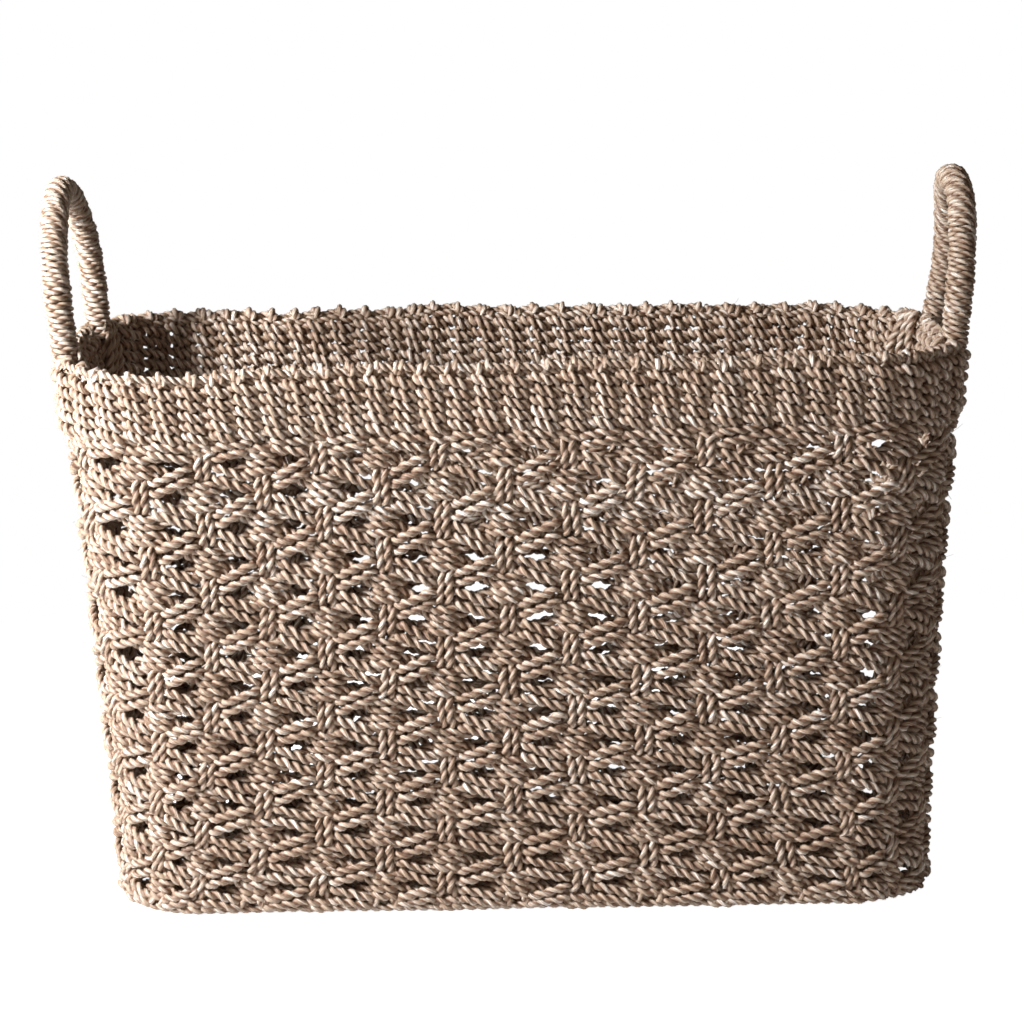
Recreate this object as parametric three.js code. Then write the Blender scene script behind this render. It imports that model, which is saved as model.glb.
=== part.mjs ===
// Magazine basket of two-ply natural cord: a flared box, open at the top, woven from stakes that run down one
// wall, under the base and up the opposite wall, with courses woven round them, a tight rim band, and a wound
// cord handle standing on each end wall. Millimetres, +Z up. The origin is the middle of the underside.

import * as THREE from 'three';

// Overall form, measured on the middle surface of the wall
const RIM_HALF_LENGTH = 217;
const RIM_HALF_WIDTH = 84;
const BASE_HALF_LENGTH = 202;
const BASE_HALF_WIDTH = 73;
const RIM_CORNER_RADIUS = 50;
const BASE_CORNER_RADIUS = 42;
const FLARE_HEIGHT = 280;
const FLARE_POWER_SHARE = 1.3;

// Columns of stakes round the wall
const FRONT_COLUMNS = 13;
const END_COLUMNS = 5;
const COLUMNS = 2 * (FRONT_COLUMNS + END_COLUMNS);

// Hand-made spacing: the stakes in the middle of both long walls stand towards the left, and those near the corners
// towards the right, by this share of a column at most
const COLUMN_DRIFT = 0.16;
const DRIFT_HALF_WAVE = 6;
const DRIFT_END = 7.5;

// Towards the base the stakes of the long walls stand farther apart and those of the corners closer together, by these
// shares of a column for each column from the middle, with a little more of it on the left
const BASE_SPREAD = 0.17;
const BASE_DRIFT = 0.03;
const SPREAD_PEAK = 4.8;
const SPREAD_END = 7.3;
const SPREAD_HEIGHT = 250;

// Stakes: a pair of cords side by side, drawn in and out by the courses
const STAKE_WIDTH = 6.8;
const STAKE_THICKNESS = 3.4;
const STAKE_SWAY = 1.8;
const BAND_STAKE_THICKNESS = 2.4;

// Base: cross stakes and lengthwise strands in a plain weave
const BASE_STRAND_THICKNESS = 3;
const BASE_SWAY = 3;
const BASE_MID_HEIGHT = BASE_SWAY + BASE_STRAND_THICKNESS / 2;
const BASE_BEND_RADIUS = 8;
const BEND_WIDTH = 5.4;
const BASE_FOOT_LENGTH = 3;
const WEFT_WIDTH = 5;
const WEFT_OVERHANG = 6;
const BEND_STEPS = 3;

// Courses: cord bundles that pass before one stake and behind the next
const COURSES = 15;
const FIRST_COURSE_HEIGHT = 14.2;
const COURSE_PITCH = 14.3;
const COURSE_PITCH_GROWTH = 0.1;
const COURSE_SWAY = 4.4;
const LEAF_HALF_HEIGHT = 7.2;
const LEAF_HALF_THICKNESS = 2.4;
const TUCK_HALF_HEIGHT = 4.2;
const TUCK_HALF_THICKNESS = 2;

// Rim band of tight rows, with one border cord on top
const BAND_ROWS = 5;
const BAND_ABOVE_COURSES = 12.6;
const BAND_PITCH = 5.8;
const BAND_SWAY = 5.2;
const BAND_HALF_HEIGHT = 2.7;
const BAND_HALF_THICKNESS = 1.9;
const BORDER_HALF_HEIGHT = 3.2;
const BORDER_HALF_THICKNESS = 3.2;
const BOTTOM_CORD_RADIUS = 2;
const BOTTOM_CORD_GAP = 1.4;

// Handles: a stiff core with its feet held in the band, wound with one cord
const LEG_COLUMN_SHARE = 1.5;
const CORE_RADIUS = 4;
const CORE_SIDES = 8;
const LEG_BULGE = 7.4;
const LEG_SHOULDER = 3.8;
const LEG_SHOULDER_REACH = 4.5;
const STAKE_SHOULDER = 4.5;
const STAKE_SHOULDER_REACH = 5;
const BORDER_LEG_GAP = 1;
const ARCH_RISE = 75;
const LEG_STRAIGHT = 22;
const ARCH_LEAN = 6;
const FOOT_STEPS = 2;
const ARCH_STEPS = 14;
const WINDING_LOOPS = 18;
const WINDING_STEPS_PER_LOOP = 9;
const WINDING_SIDES = 4;
const WINDING_HALF_THICKNESS = 1.5;
const WINDING_HALF_WIDTH = 3.6;
const WINDING_GAP = 0.5;
const WINDING_END_GAP = 0.9;
const WINDING_END_TURN = 3;
const WINDING_END_STEPS = 3;

// A ring has a section half-way between two stakes where the wall turns by more than this share of a right angle
const HALF_SECTION_TURN_SHARE = 0.08;
const RING_SIDES = 4;

// Clearance between the stake ends and the border cord on them
const STAKE_TOP_GAP = 0.4;

const bandFirstHeight = courseHeight(COURSES - 1) + BAND_ABOVE_COURSES;
const bandTopHeight = bandFirstHeight + (BAND_ROWS - 1) * BAND_PITCH + BAND_HALF_HEIGHT;
const borderHeight = bandTopHeight + STAKE_TOP_GAP + BORDER_HALF_HEIGHT;
const stakeTopHeight = borderHeight - BORDER_HALF_HEIGHT - STAKE_TOP_GAP;
const bandBottomHeight = bandFirstHeight - BAND_HALF_HEIGHT;
const rimTopHeight = borderHeight + BORDER_HALF_HEIGHT;
const endCentreColumn = COLUMNS / 4;

const cordMaterial = new THREE.MeshStandardMaterial({ color: 0xb89c7a, roughness: 0.85, metalness: 0 });
const stakeMaterial = new THREE.MeshStandardMaterial({ color: 0xa98c69, roughness: 0.88, metalness: 0 });
const bandMaterial = new THREE.MeshStandardMaterial({ color: 0xad9272, roughness: 0.87, metalness: 0 });
const windingMaterial = new THREE.MeshStandardMaterial({ color: 0xc2a88a, roughness: 0.82, metalness: 0 });

// Wall surface

function wallOutline(height) {
  const flare = Math.max(0, height / FLARE_HEIGHT) ** FLARE_POWER_SHARE;
  return {
    halfLength: THREE.MathUtils.lerp(BASE_HALF_LENGTH, RIM_HALF_LENGTH, flare),
    halfWidth: THREE.MathUtils.lerp(BASE_HALF_WIDTH, RIM_HALF_WIDTH, flare),
    radius: THREE.MathUtils.lerp(BASE_CORNER_RADIUS, RIM_CORNER_RADIUS, flare),
  };
}

// A quarter of the outline, from the middle of the front to the middle of the right end
function quarterPoint(outline, distance) {
  const straight = outline.halfLength - outline.radius;
  const arc = (outline.radius * Math.PI) / 2;
  if (distance < straight) {
    return { x: distance, y: -outline.halfWidth, angle: 0 };
  }
  if (distance < straight + arc) {
    const angle = (distance - straight) / outline.radius;
    return {
      x: straight + outline.radius * Math.sin(angle),
      y: -outline.halfWidth + outline.radius * (1 - Math.cos(angle)),
      angle,
    };
  }
  return {
    x: outline.halfLength,
    y: -outline.halfWidth + outline.radius + (distance - straight - arc),
    angle: Math.PI / 2,
  };
}

// Share of the base's spacing at a height: all at the underside, none at the top
const baseShare = (height) => Math.max(0, 1 - height / SPREAD_HEIGHT) ** 2;

// How far a stake stands towards the left of its even place, in columns, near a long wall's middle or a corner
function columnDrift(near, height) {
  const wave = Math.cos((Math.PI * Math.min(near, DRIFT_HALF_WAVE)) / DRIFT_HALF_WAVE);
  const fade = THREE.MathUtils.clamp((near - DRIFT_HALF_WAVE) / (DRIFT_END - DRIFT_HALF_WAVE), 0, 1);
  return (COLUMN_DRIFT * wave + BASE_DRIFT * near * baseShare(height)) * Math.cos((fade * Math.PI) / 2) ** 2;
}

// How far a stake stands away from the middle of its long wall, in columns, for the wider spacing near the base
function columnSpread(near, height) {
  const fall = THREE.MathUtils.clamp((SPREAD_END - near) / (SPREAD_END - SPREAD_PEAK), 0, 1);
  return BASE_SPREAD * Math.min(near, SPREAD_PEAK) * fall * baseShare(height);
}

// The point of the wall's middle surface at a column, counted anticlockwise from the middle of the front
function wallPoint(column, height) {
  const outline = wallOutline(height);
  const quarter = outline.halfLength + outline.halfWidth - 2 * outline.radius + (outline.radius * Math.PI) / 2;
  const turned = ((column % COLUMNS) + COLUMNS) % COLUMNS;
  const beyondEnd = turned > COLUMNS / 2;
  const side = beyondEnd ? COLUMNS - turned : turned;
  const behind = side > COLUMNS / 4;
  const near = behind ? COLUMNS / 2 - side : side;
  const signX = beyondEnd ? -1 : 1;
  const moved = near - signX * columnDrift(near, height) + columnSpread(near, height);
  const point = quarterPoint(outline, (moved / (COLUMNS / 4)) * quarter);
  const signY = behind ? -1 : 1;
  return {
    position: new THREE.Vector3(signX * point.x, signY * point.y, height),
    outward: new THREE.Vector3(signX * Math.sin(point.angle), -signY * Math.cos(point.angle), 0),
  };
}

function offsetWallPoint(column, height, offset) {
  const { position, outward } = wallPoint(column, height);
  return position.clone().addScaledVector(outward, offset);
}

// Solids made by joining sections of like corners

function loftGeometry(sections, closed) {
  const corners = sections[0].length;
  const positions = sections.flat().flatMap((point) => [point.x, point.y, point.z]);
  const indices = [];
  const spans = closed ? sections.length : sections.length - 1;
  for (let span = 0; span < spans; span += 1) {
    const here = span * corners;
    const next = ((span + 1) % sections.length) * corners;
    for (let corner = 0; corner < corners; corner += 1) {
      const beside = (corner + 1) % corners;
      indices.push(here + corner, here + beside, next + beside);
      indices.push(here + corner, next + beside, next + corner);
    }
  }
  if (!closed) {
    const last = (sections.length - 1) * corners;
    for (let corner = 1; corner < corners - 1; corner += 1) {
      indices.push(0, corner + 1, corner);
      indices.push(last, last + corner, last + corner + 1);
    }
  }
  const geometry = new THREE.BufferGeometry();
  geometry.setAttribute('position', new THREE.Float32BufferAttribute(positions, 3));
  geometry.setIndex(indices);
  return facingOut(geometry);
}

function signedVolume(geometry) {
  const positions = geometry.getAttribute('position');
  const index = geometry.getIndex();
  const corners = [new THREE.Vector3(), new THREE.Vector3(), new THREE.Vector3()];
  let sum = 0;
  for (let start = 0; start < index.count; start += 3) {
    corners.forEach((corner, order) => corner.fromBufferAttribute(positions, index.getX(start + order)));
    sum += corners[0].dot(corners[1].clone().cross(corners[2]));
  }
  return sum / 6;
}

function facingOut(geometry) {
  if (signedVolume(geometry) < 0) {
    const index = geometry.getIndex();
    for (let start = 0; start < index.count; start += 3) {
      const second = index.getX(start + 1);
      index.setX(start + 1, index.getX(start + 2));
      index.setX(start + 2, second);
    }
  }
  geometry.computeVertexNormals();
  return geometry;
}

// A flat bar's section: corners at half its width along side and half its thickness along normal
function barSection(centre, side, normal, width, thickness) {
  const cornerSigns = [[-1, -1], [1, -1], [1, 1], [-1, 1]];
  return cornerSigns.map(([along, out]) => centre.clone()
    .addScaledVector(side, (along * width) / 2)
    .addScaledVector(normal, (out * thickness) / 2));
}

function ovalSection(centre, across, up, halfAcross, halfUp, sides) {
  return Array.from({ length: sides }, (_, corner) => {
    const turn = (2 * Math.PI * corner) / sides;
    return centre.clone()
      .addScaledVector(across, halfAcross * Math.cos(turn))
      .addScaledVector(up, halfUp * Math.sin(turn));
  });
}

// Stakes

const stakeInFront = (column, course) => (column + course) % 2 !== 0;

// The courses lie closer together near the base
function courseHeight(course) {
  return FIRST_COURSE_HEIGHT + course * (COURSE_PITCH + course * COURSE_PITCH_GROWTH);
}

function sideOfWall(outward) {
  return new THREE.Vector3(-outward.y, outward.x, 0);
}

// Sections of a stake down one wall, from the rim to the start of the bend
function wallSections(column) {
  const stations = [
    { height: stakeTopHeight, offset: 0, thickness: BAND_STAKE_THICKNESS },
    { height: bandBottomHeight, offset: 0, thickness: BAND_STAKE_THICKNESS },
  ];
  for (let course = COURSES - 1; course >= 0; course -= 1) {
    const offset = stakeInFront(column, course) ? STAKE_SWAY : -STAKE_SWAY;
    stations.push({ height: courseHeight(course), offset, thickness: STAKE_THICKNESS });
  }
  return stations.map(({ height, offset, thickness }) => {
    const { outward } = wallPoint(column, height);
    const centre = offsetWallPoint(column, height, offset);
    return barSection(centre, sideOfWall(outward), outward, STAKE_WIDTH, thickness);
  });
}

// Sections of the bend from the wall into the base, which runs towards inward
function bendSections(column, inward, baseSide) {
  const { position, outward } = wallPoint(column, 0);
  const sway = stakeInFront(column, 0) ? STAKE_SWAY : -STAKE_SWAY;
  const wallSide = sideOfWall(outward);
  const down = new THREE.Vector3(0, 0, -1);
  return Array.from({ length: BEND_STEPS }, (_, step) => {
    const share = step / (BEND_STEPS - 1);
    const turn = (share * Math.PI) / 2;
    const centre = position.clone()
      .addScaledVector(outward, sway * (1 - share))
      .addScaledVector(inward, BASE_BEND_RADIUS * (1 - Math.cos(turn)))
      .setZ(BASE_MID_HEIGHT + BASE_BEND_RADIUS * (1 - Math.sin(turn)));
    const side = wallSide.clone().lerp(baseSide, share).normalize();
    const normal = outward.clone().multiplyScalar(Math.cos(turn)).addScaledVector(down, Math.sin(turn)).normalize();
    return barSection(centre, side, normal, BEND_WIDTH, BASE_STRAND_THICKNESS);
  });
}

// Sections along the base through its crossings, each with a flat foot where the strand is lowest
function baseSections(crossings, along, side, fixed, width) {
  const down = new THREE.Vector3(0, 0, -1);
  const sections = [];
  for (const { place, under, flat } of crossings) {
    const height = BASE_MID_HEIGHT + (under ? -BASE_SWAY : BASE_SWAY);
    const shifts = flat ? [-BASE_FOOT_LENGTH / 2, BASE_FOOT_LENGTH / 2] : [0];
    for (const shift of shifts) {
      const centre = fixed.clone().addScaledVector(along, place + shift).setZ(height);
      sections.push(barSection(centre, side, down, width, BASE_STRAND_THICKNESS));
    }
  }
  return sections;
}

// Places of the strands that cross in the base

const crossStakeColumns = Array.from({ length: FRONT_COLUMNS }, (_, order) => order - (FRONT_COLUMNS - 1) / 2);
const endStakeRanks = Array.from({ length: END_COLUMNS }, (_, order) => order - (END_COLUMNS - 1) / 2);
const crossStakePlace = (column) => wallPoint(column, 0).position.x;
const endStakePlace = (rank) => wallPoint(endCentreColumn + rank, 0).position.y;

const lengthwiseStrands = endStakeRanks.flatMap((rank, order) => {
  const place = endStakePlace(rank);
  const stake = { place, order: 2 * rank };
  if (order === endStakeRanks.length - 1) {
    return [stake];
  }
  const weft = { place: (place + endStakePlace(rank + 1)) / 2, order: 2 * rank + 1, weft: true };
  return [stake, weft];
});

const crossStakeUnder = (column, order) => (column + order) % 2 === 0;

function crossStakeGeometry(column) {
  const along = new THREE.Vector3(0, 1, 0);
  const baseSide = new THREE.Vector3(1, 0, 0);
  const backColumn = COLUMNS / 2 - column;
  const backSide = baseSide.clone().negate();
  const crossings = lengthwiseStrands.map(({ place, order }) => {
    const under = crossStakeUnder(column, order);
    return { place, under, flat: under };
  });
  const fixed = new THREE.Vector3(crossStakePlace(column), 0, 0);
  const back = [
    ...bendSections(backColumn, along.clone().negate(), backSide).reverse(),
    ...wallSections(backColumn).reverse(),
  ];
  return loftGeometry([
    ...wallSections(column),
    ...bendSections(column, along, baseSide),
    ...baseSections(crossings, along, baseSide, fixed, STAKE_WIDTH),
    ...back.map(turnedSection),
  ], false);
}

// The same section read from the other end of the strand, so that its corners keep their order
function turnedSection(section) {
  const [first, second, third, fourth] = section;
  return [second, first, fourth, third];
}

function lengthwiseCrossings(order) {
  return crossStakeColumns.map((column) => ({
    place: crossStakePlace(column),
    under: !crossStakeUnder(column, order),
    flat: false,
  }));
}

function endStakeGeometry(rank) {
  const along = new THREE.Vector3(1, 0, 0);
  const baseSide = new THREE.Vector3(0, -1, 0);
  const leftColumn = 3 * endCentreColumn - rank;
  const rightColumn = endCentreColumn + rank;
  const fixed = new THREE.Vector3(0, endStakePlace(rank), 0);
  const right = [
    ...bendSections(rightColumn, along.clone().negate(), baseSide.clone().negate()).reverse(),
    ...wallSections(rightColumn).reverse(),
  ];
  return loftGeometry([
    ...wallSections(leftColumn),
    ...bendSections(leftColumn, along, baseSide),
    ...baseSections(lengthwiseCrossings(2 * rank), along, baseSide, fixed, STAKE_WIDTH),
    ...right.map(turnedSection),
  ], false);
}

function weftGeometry({ place, order }) {
  const along = new THREE.Vector3(1, 0, 0);
  const side = new THREE.Vector3(0, -1, 0);
  const crossings = lengthwiseCrossings(order);
  const reach = crossStakePlace(crossStakeColumns.at(-1)) + WEFT_OVERHANG;
  const first = { ...crossings[0], place: -reach };
  const last = { ...crossings.at(-1), place: reach };
  const fixed = new THREE.Vector3(0, place, 0);
  return loftGeometry(baseSections([first, ...crossings, last], along, side, fixed, WEFT_WIDTH), false);
}

// Rings round the wall

// Columns at which a ring has sections: every column, and half-way where the wall turns a corner
function ringColumns(height) {
  const columns = [];
  for (let column = 0; column < COLUMNS; column += 1) {
    columns.push(column);
    const turn = wallPoint(column, height).outward.angleTo(wallPoint(column + 1, height).outward);
    if (turn > (HALF_SECTION_TURN_SHARE * Math.PI) / 2) {
      columns.push(column + 1 / 2);
    }
  }
  return columns;
}

const isHalfColumn = (column) => column % 1 !== 0;

function ringSection(column, height, offset, halfThickness, halfHeight) {
  const { outward } = wallPoint(column, height);
  const up = new THREE.Vector3(0, 0, 1);
  const centre = offsetWallPoint(column, height, offset);
  return ovalSection(centre, outward, up, halfThickness, halfHeight, RING_SIDES);
}

function courseGeometry(course) {
  const height = courseHeight(course);
  const sections = ringColumns(height).map((column) => {
    if (isHalfColumn(column)) {
      const halfThickness = (LEAF_HALF_THICKNESS + TUCK_HALF_THICKNESS) / 2;
      return ringSection(column, height, 0, halfThickness, (LEAF_HALF_HEIGHT + TUCK_HALF_HEIGHT) / 2);
    }
    return stakeInFront(column, course)
      ? ringSection(column, height, -COURSE_SWAY, TUCK_HALF_THICKNESS, TUCK_HALF_HEIGHT)
      : ringSection(column, height, COURSE_SWAY, LEAF_HALF_THICKNESS, LEAF_HALF_HEIGHT);
  });
  return loftGeometry(sections, true);
}

// The handle legs stand half-way between two stakes of each end wall
const legColumns = [-1, 1].flatMap((sign) => [
  endCentreColumn + sign * LEG_COLUMN_SHARE,
  3 * endCentreColumn + sign * LEG_COLUMN_SHARE,
]);
const isLegColumn = (column) => legColumns.includes(column);

function bandColumns(height) {
  return [...new Set([...ringColumns(height), ...legColumns])].sort((first, second) => first - second);
}

function columnPitch(height) {
  const outline = wallOutline(height);
  const straight = outline.halfLength + outline.halfWidth - 2 * outline.radius;
  return (4 * straight + 2 * Math.PI * outline.radius) / COLUMNS;
}

const bandSwayAt = (column) => (column % 2 === 0 ? BAND_SWAY : -BAND_SWAY);

// Stations of a band row round a handle foot: close to the stake before it, round the foot, close to the next stake
function legStations(legColumn, legSide, pitch) {
  const before = Math.floor(legColumn);
  const after = Math.ceil(legColumn);
  return [
    { column: before + STAKE_SHOULDER_REACH / pitch, offset: Math.sign(bandSwayAt(before)) * STAKE_SHOULDER },
    { column: legColumn - LEG_SHOULDER_REACH / pitch, offset: legSide * LEG_SHOULDER },
    { column: legColumn, offset: legSide * LEG_BULGE },
    { column: legColumn + LEG_SHOULDER_REACH / pitch, offset: legSide * LEG_SHOULDER },
    { column: after - STAKE_SHOULDER_REACH / pitch, offset: Math.sign(bandSwayAt(after)) * STAKE_SHOULDER },
  ];
}

// A band row goes before even columns and behind odd ones, and grips the handle feet from both sides in turn
function bandRowGeometry(row) {
  const height = bandFirstHeight + row * BAND_PITCH;
  const legSide = row % 2 === 0 ? 1 : -1;
  const stations = bandColumns(height).flatMap((column) => {
    if (isLegColumn(column)) {
      return legStations(column, legSide, columnPitch(height));
    }
    return [{ column, offset: isHalfColumn(column) ? 0 : bandSwayAt(column) }];
  });
  const sections = stations.map(({ column, offset }) => (
    ringSection(column, height, offset, BAND_HALF_THICKNESS, BAND_HALF_HEIGHT)
  ));
  return loftGeometry(sections, true);
}

function borderGeometry() {
  const sections = bandColumns(borderHeight).map((column) => {
    const offset = isLegColumn(column) ? CORE_RADIUS + BORDER_LEG_GAP + BORDER_HALF_THICKNESS : 0;
    return ringSection(column, borderHeight, offset, BORDER_HALF_THICKNESS, BORDER_HALF_HEIGHT);
  });
  return loftGeometry(sections, true);
}

// One cord lies round the foot of the wall, in the outer corner of the bends
function bottomCordGeometry() {
  const stakeCorner = BASE_BEND_RADIUS + BASE_STRAND_THICKNESS / 2 + BOTTOM_CORD_GAP + BOTTOM_CORD_RADIUS;
  const offset = stakeCorner * Math.SQRT1_2 - BASE_BEND_RADIUS;
  const height = BASE_MID_HEIGHT + BASE_BEND_RADIUS - stakeCorner * Math.SQRT1_2;
  const sections = ringColumns(0).map((column) => {
    const { outward } = wallPoint(column, 0);
    const centre = offsetWallPoint(column, 0, offset).setZ(height);
    const up = new THREE.Vector3(0, 0, 1);
    return ovalSection(centre, outward, up, BOTTOM_CORD_RADIUS, BOTTOM_CORD_RADIUS, RING_SIDES);
  });
  return loftGeometry(sections, true);
}

// Handles

// Centre line of a handle above the rim: straight legs, then half an oval, leaning out as it rises
class HandleArch extends THREE.Curve {
  constructor(endSign) {
    super();
    this.endSign = endSign;
    const foot = wallPoint(endCentreColumn + LEG_COLUMN_SHARE, rimTopHeight).position;
    this.legReach = foot.x;
    this.legHalfGap = foot.y;
  }

  getPoint(share, target = new THREE.Vector3()) {
    const straightShare = LEG_STRAIGHT / (2 * LEG_STRAIGHT + Math.PI * this.legHalfGap);
    let across = this.legHalfGap;
    let rise = 0;
    if (share < straightShare) {
      rise = LEG_STRAIGHT * (share / straightShare);
    } else if (share > 1 - straightShare) {
      rise = LEG_STRAIGHT * ((1 - share) / straightShare);
      across = -across;
    } else {
      const turn = (Math.PI * (share - straightShare)) / (1 - 2 * straightShare);
      rise = LEG_STRAIGHT + (ARCH_RISE - LEG_STRAIGHT) * Math.sin(turn);
      across *= Math.cos(turn);
    }
    const lean = (ARCH_LEAN * rise) / ARCH_RISE;
    return target.set(this.endSign * (this.legReach + lean), -across, rimTopHeight + rise);
  }
}

// Directions about a handle's centre line: along it, out from the basket, and across both
function archFrame(arch, share) {
  const along = arch.getTangentAt(share);
  const outward = new THREE.Vector3(arch.endSign, 0, 0).projectOnPlane(along).normalize();
  return { along, outward, across: along.clone().cross(outward) };
}

function legColumn(arch, sign) {
  return arch.endSign > 0
    ? endCentreColumn + sign * LEG_COLUMN_SHARE
    : 3 * endCentreColumn - sign * LEG_COLUMN_SHARE;
}

// The core's foot, down through the band between its rows
function footSections(arch, sign) {
  const { across, outward } = archFrame(arch, sign < 0 ? 0 : 1);
  return Array.from({ length: FOOT_STEPS }, (_, step) => {
    const height = THREE.MathUtils.lerp(bandBottomHeight, rimTopHeight, step / FOOT_STEPS);
    const centre = wallPoint(legColumn(arch, sign), height).position;
    return ovalSection(centre, outward, across, CORE_RADIUS, CORE_RADIUS, CORE_SIDES);
  });
}

function coreGeometry(arch) {
  const archSections = Array.from({ length: ARCH_STEPS + 1 }, (_, step) => {
    const share = step / ARCH_STEPS;
    const { outward, across } = archFrame(arch, share);
    return ovalSection(arch.getPointAt(share), outward, across, CORE_RADIUS, CORE_RADIUS, CORE_SIDES);
  });
  return loftGeometry([...footSections(arch, -1), ...archSections, ...footSections(arch, 1).reverse()], false);
}

// Radius of the winding's centre line, so that its straight steps still clear the core
const windingRadius = (CORE_RADIUS + WINDING_GAP) / Math.cos(Math.PI / WINDING_STEPS_PER_LOOP) + WINDING_HALF_THICKNESS;

// Stations from the winding's square-cut end through its quarter turn: travel along the core, turn about it,
// and heading, a right angle where the cord runs along the core
function windingEndStations() {
  const straight = 2 * WINDING_HALF_THICKNESS;
  const stations = [{ travel: WINDING_END_GAP, turn: -WINDING_END_TURN / windingRadius, heading: Math.PI / 2 }];
  for (let step = 0; step <= WINDING_END_STEPS; step += 1) {
    const heading = (Math.PI / 2) * (1 - step / WINDING_END_STEPS);
    stations.push({
      travel: WINDING_END_GAP + straight + WINDING_END_TURN * Math.cos(heading),
      turn: (-WINDING_END_TURN * Math.sin(heading)) / windingRadius,
      heading,
    });
  }
  return stations;
}

function windingStations(length) {
  const start = windingEndStations();
  const fullTurn = 2 * Math.PI * WINDING_LOOPS;
  const end = start.map(({ travel, turn, heading }) => ({ travel: length - travel, turn: fullTurn - turn, heading }));
  const firstTravel = start.at(-1).travel;
  const steps = WINDING_LOOPS * WINDING_STEPS_PER_LOOP;
  const loops = Array.from({ length: steps - 1 }, (_, step) => {
    const share = (step + 1) / steps;
    return {
      travel: THREE.MathUtils.lerp(firstTravel, length - firstTravel, share),
      turn: fullTurn * share,
      heading: 0,
    };
  });
  return [...start, ...loops, ...end.reverse()];
}

// Half the cord's width at a turn: round at both ends, pressed wider after half a loop
function windingHalfWidth(turn) {
  const fromEnd = Math.min(turn, 2 * Math.PI * WINDING_LOOPS - turn);
  const share = THREE.MathUtils.clamp(fromEnd / Math.PI, 0, 1);
  return THREE.MathUtils.lerp(WINDING_HALF_THICKNESS, WINDING_HALF_WIDTH, share);
}

function windingSections(arch) {
  const length = arch.getLength();
  return windingStations(length).map(({ travel, turn, heading }) => {
    const { along, outward, across } = archFrame(arch, travel / length);
    const radial = outward.clone().multiplyScalar(Math.cos(turn)).addScaledVector(across, Math.sin(turn));
    const around = across.clone().multiplyScalar(Math.cos(turn)).addScaledVector(outward, -Math.sin(turn));
    const wide = along.clone().multiplyScalar(Math.cos(heading)).addScaledVector(around, -Math.sin(heading));
    const centre = arch.getPointAt(travel / length).addScaledVector(radial, windingRadius);
    return ovalSection(centre, radial, wide, WINDING_HALF_THICKNESS, windingHalfWidth(turn), WINDING_SIDES);
  });
}

// Least distance between points of the winding's surface that lie more than half a loop apart
function leastSelfGap(sections) {
  const apart = Math.ceil(WINDING_STEPS_PER_LOOP / 2);
  let least = Infinity;
  sections.forEach((section, order) => {
    for (const other of sections.slice(order + apart)) {
      for (const point of section) {
        for (const far of other) {
          least = Math.min(least, point.distanceTo(far));
        }
      }
    }
  });
  return least;
}

// Assembly

const basket = new THREE.Group();

function addPiece(name, geometry, material) {
  const mesh = new THREE.Mesh(geometry, material);
  mesh.name = name;
  basket.add(mesh);
}

crossStakeColumns.forEach((column, order) => {
  addPiece(`cross_stake_${order + 1}`, crossStakeGeometry(column), stakeMaterial);
});
endStakeRanks.forEach((rank, order) => {
  addPiece(`end_stake_${order + 1}`, endStakeGeometry(rank), stakeMaterial);
});
lengthwiseStrands.filter(({ weft }) => weft).forEach((strand, order) => {
  addPiece(`base_weft_${order + 1}`, weftGeometry(strand), stakeMaterial);
});
addPiece('bottom_cord', bottomCordGeometry(), cordMaterial);
for (let course = 0; course < COURSES; course += 1) {
  addPiece(`course_${course + 1}`, courseGeometry(course), cordMaterial);
}
for (let row = 0; row < BAND_ROWS; row += 1) {
  addPiece(`band_row_${row + 1}`, bandRowGeometry(row), bandMaterial);
}
addPiece('rim_border', borderGeometry(), bandMaterial);

for (const [side, endSign] of [['left', -1], ['right', 1]]) {
  const arch = new HandleArch(endSign);
  const sections = windingSections(arch);
  addPiece(`handle_core_${side}`, coreGeometry(arch), stakeMaterial);
  addPiece(`handle_winding_${side}`, loftGeometry(sections, false), windingMaterial);
  console.log(`least gap of the ${side} handle's winding to itself: ${leastSelfGap(sections).toFixed(2)} mm`);
}

export default basket;
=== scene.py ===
"""Looks of a flared magazine basket woven from two-ply natural cord.

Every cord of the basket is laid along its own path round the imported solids: the stakes that run down one wall, across
the base and up the other, the bundles that weave round them, the twined rim band, the border with its folded stake
ends, and the two wound handles. Geometry Nodes turn the paths into twisted two-ply cord. Metres, +Z up.
"""

from __future__ import annotations

import logging
import math
from dataclasses import dataclass, field
from enum import Enum

import bpy
import numpy as np
from mathutils import Matrix, Vector

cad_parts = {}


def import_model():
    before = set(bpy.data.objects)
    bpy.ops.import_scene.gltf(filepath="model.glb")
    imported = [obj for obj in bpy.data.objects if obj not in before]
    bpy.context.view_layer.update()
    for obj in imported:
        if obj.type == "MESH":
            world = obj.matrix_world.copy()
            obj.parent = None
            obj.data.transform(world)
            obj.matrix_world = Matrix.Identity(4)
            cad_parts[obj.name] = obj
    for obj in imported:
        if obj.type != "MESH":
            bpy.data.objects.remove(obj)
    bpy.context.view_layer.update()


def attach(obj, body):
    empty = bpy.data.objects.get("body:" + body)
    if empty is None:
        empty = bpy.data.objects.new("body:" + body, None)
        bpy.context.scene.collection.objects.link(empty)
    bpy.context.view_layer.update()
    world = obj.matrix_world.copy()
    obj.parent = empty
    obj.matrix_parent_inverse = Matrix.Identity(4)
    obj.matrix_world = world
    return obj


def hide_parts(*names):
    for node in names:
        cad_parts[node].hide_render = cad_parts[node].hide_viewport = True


LOG = logging.getLogger("magazine_basket")
BODY = "root"
IMAGE_LONG_SIDE = 1024
SENSOR_WIDTH = 36.0


class End(Enum):
    """The two short ends of the basket, which carry the handles."""

    LEFT = -1
    RIGHT = 1


class Lay(Enum):
    """Which way the two plies of a cord wind round each other."""

    Z = -1
    S = 1


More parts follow.
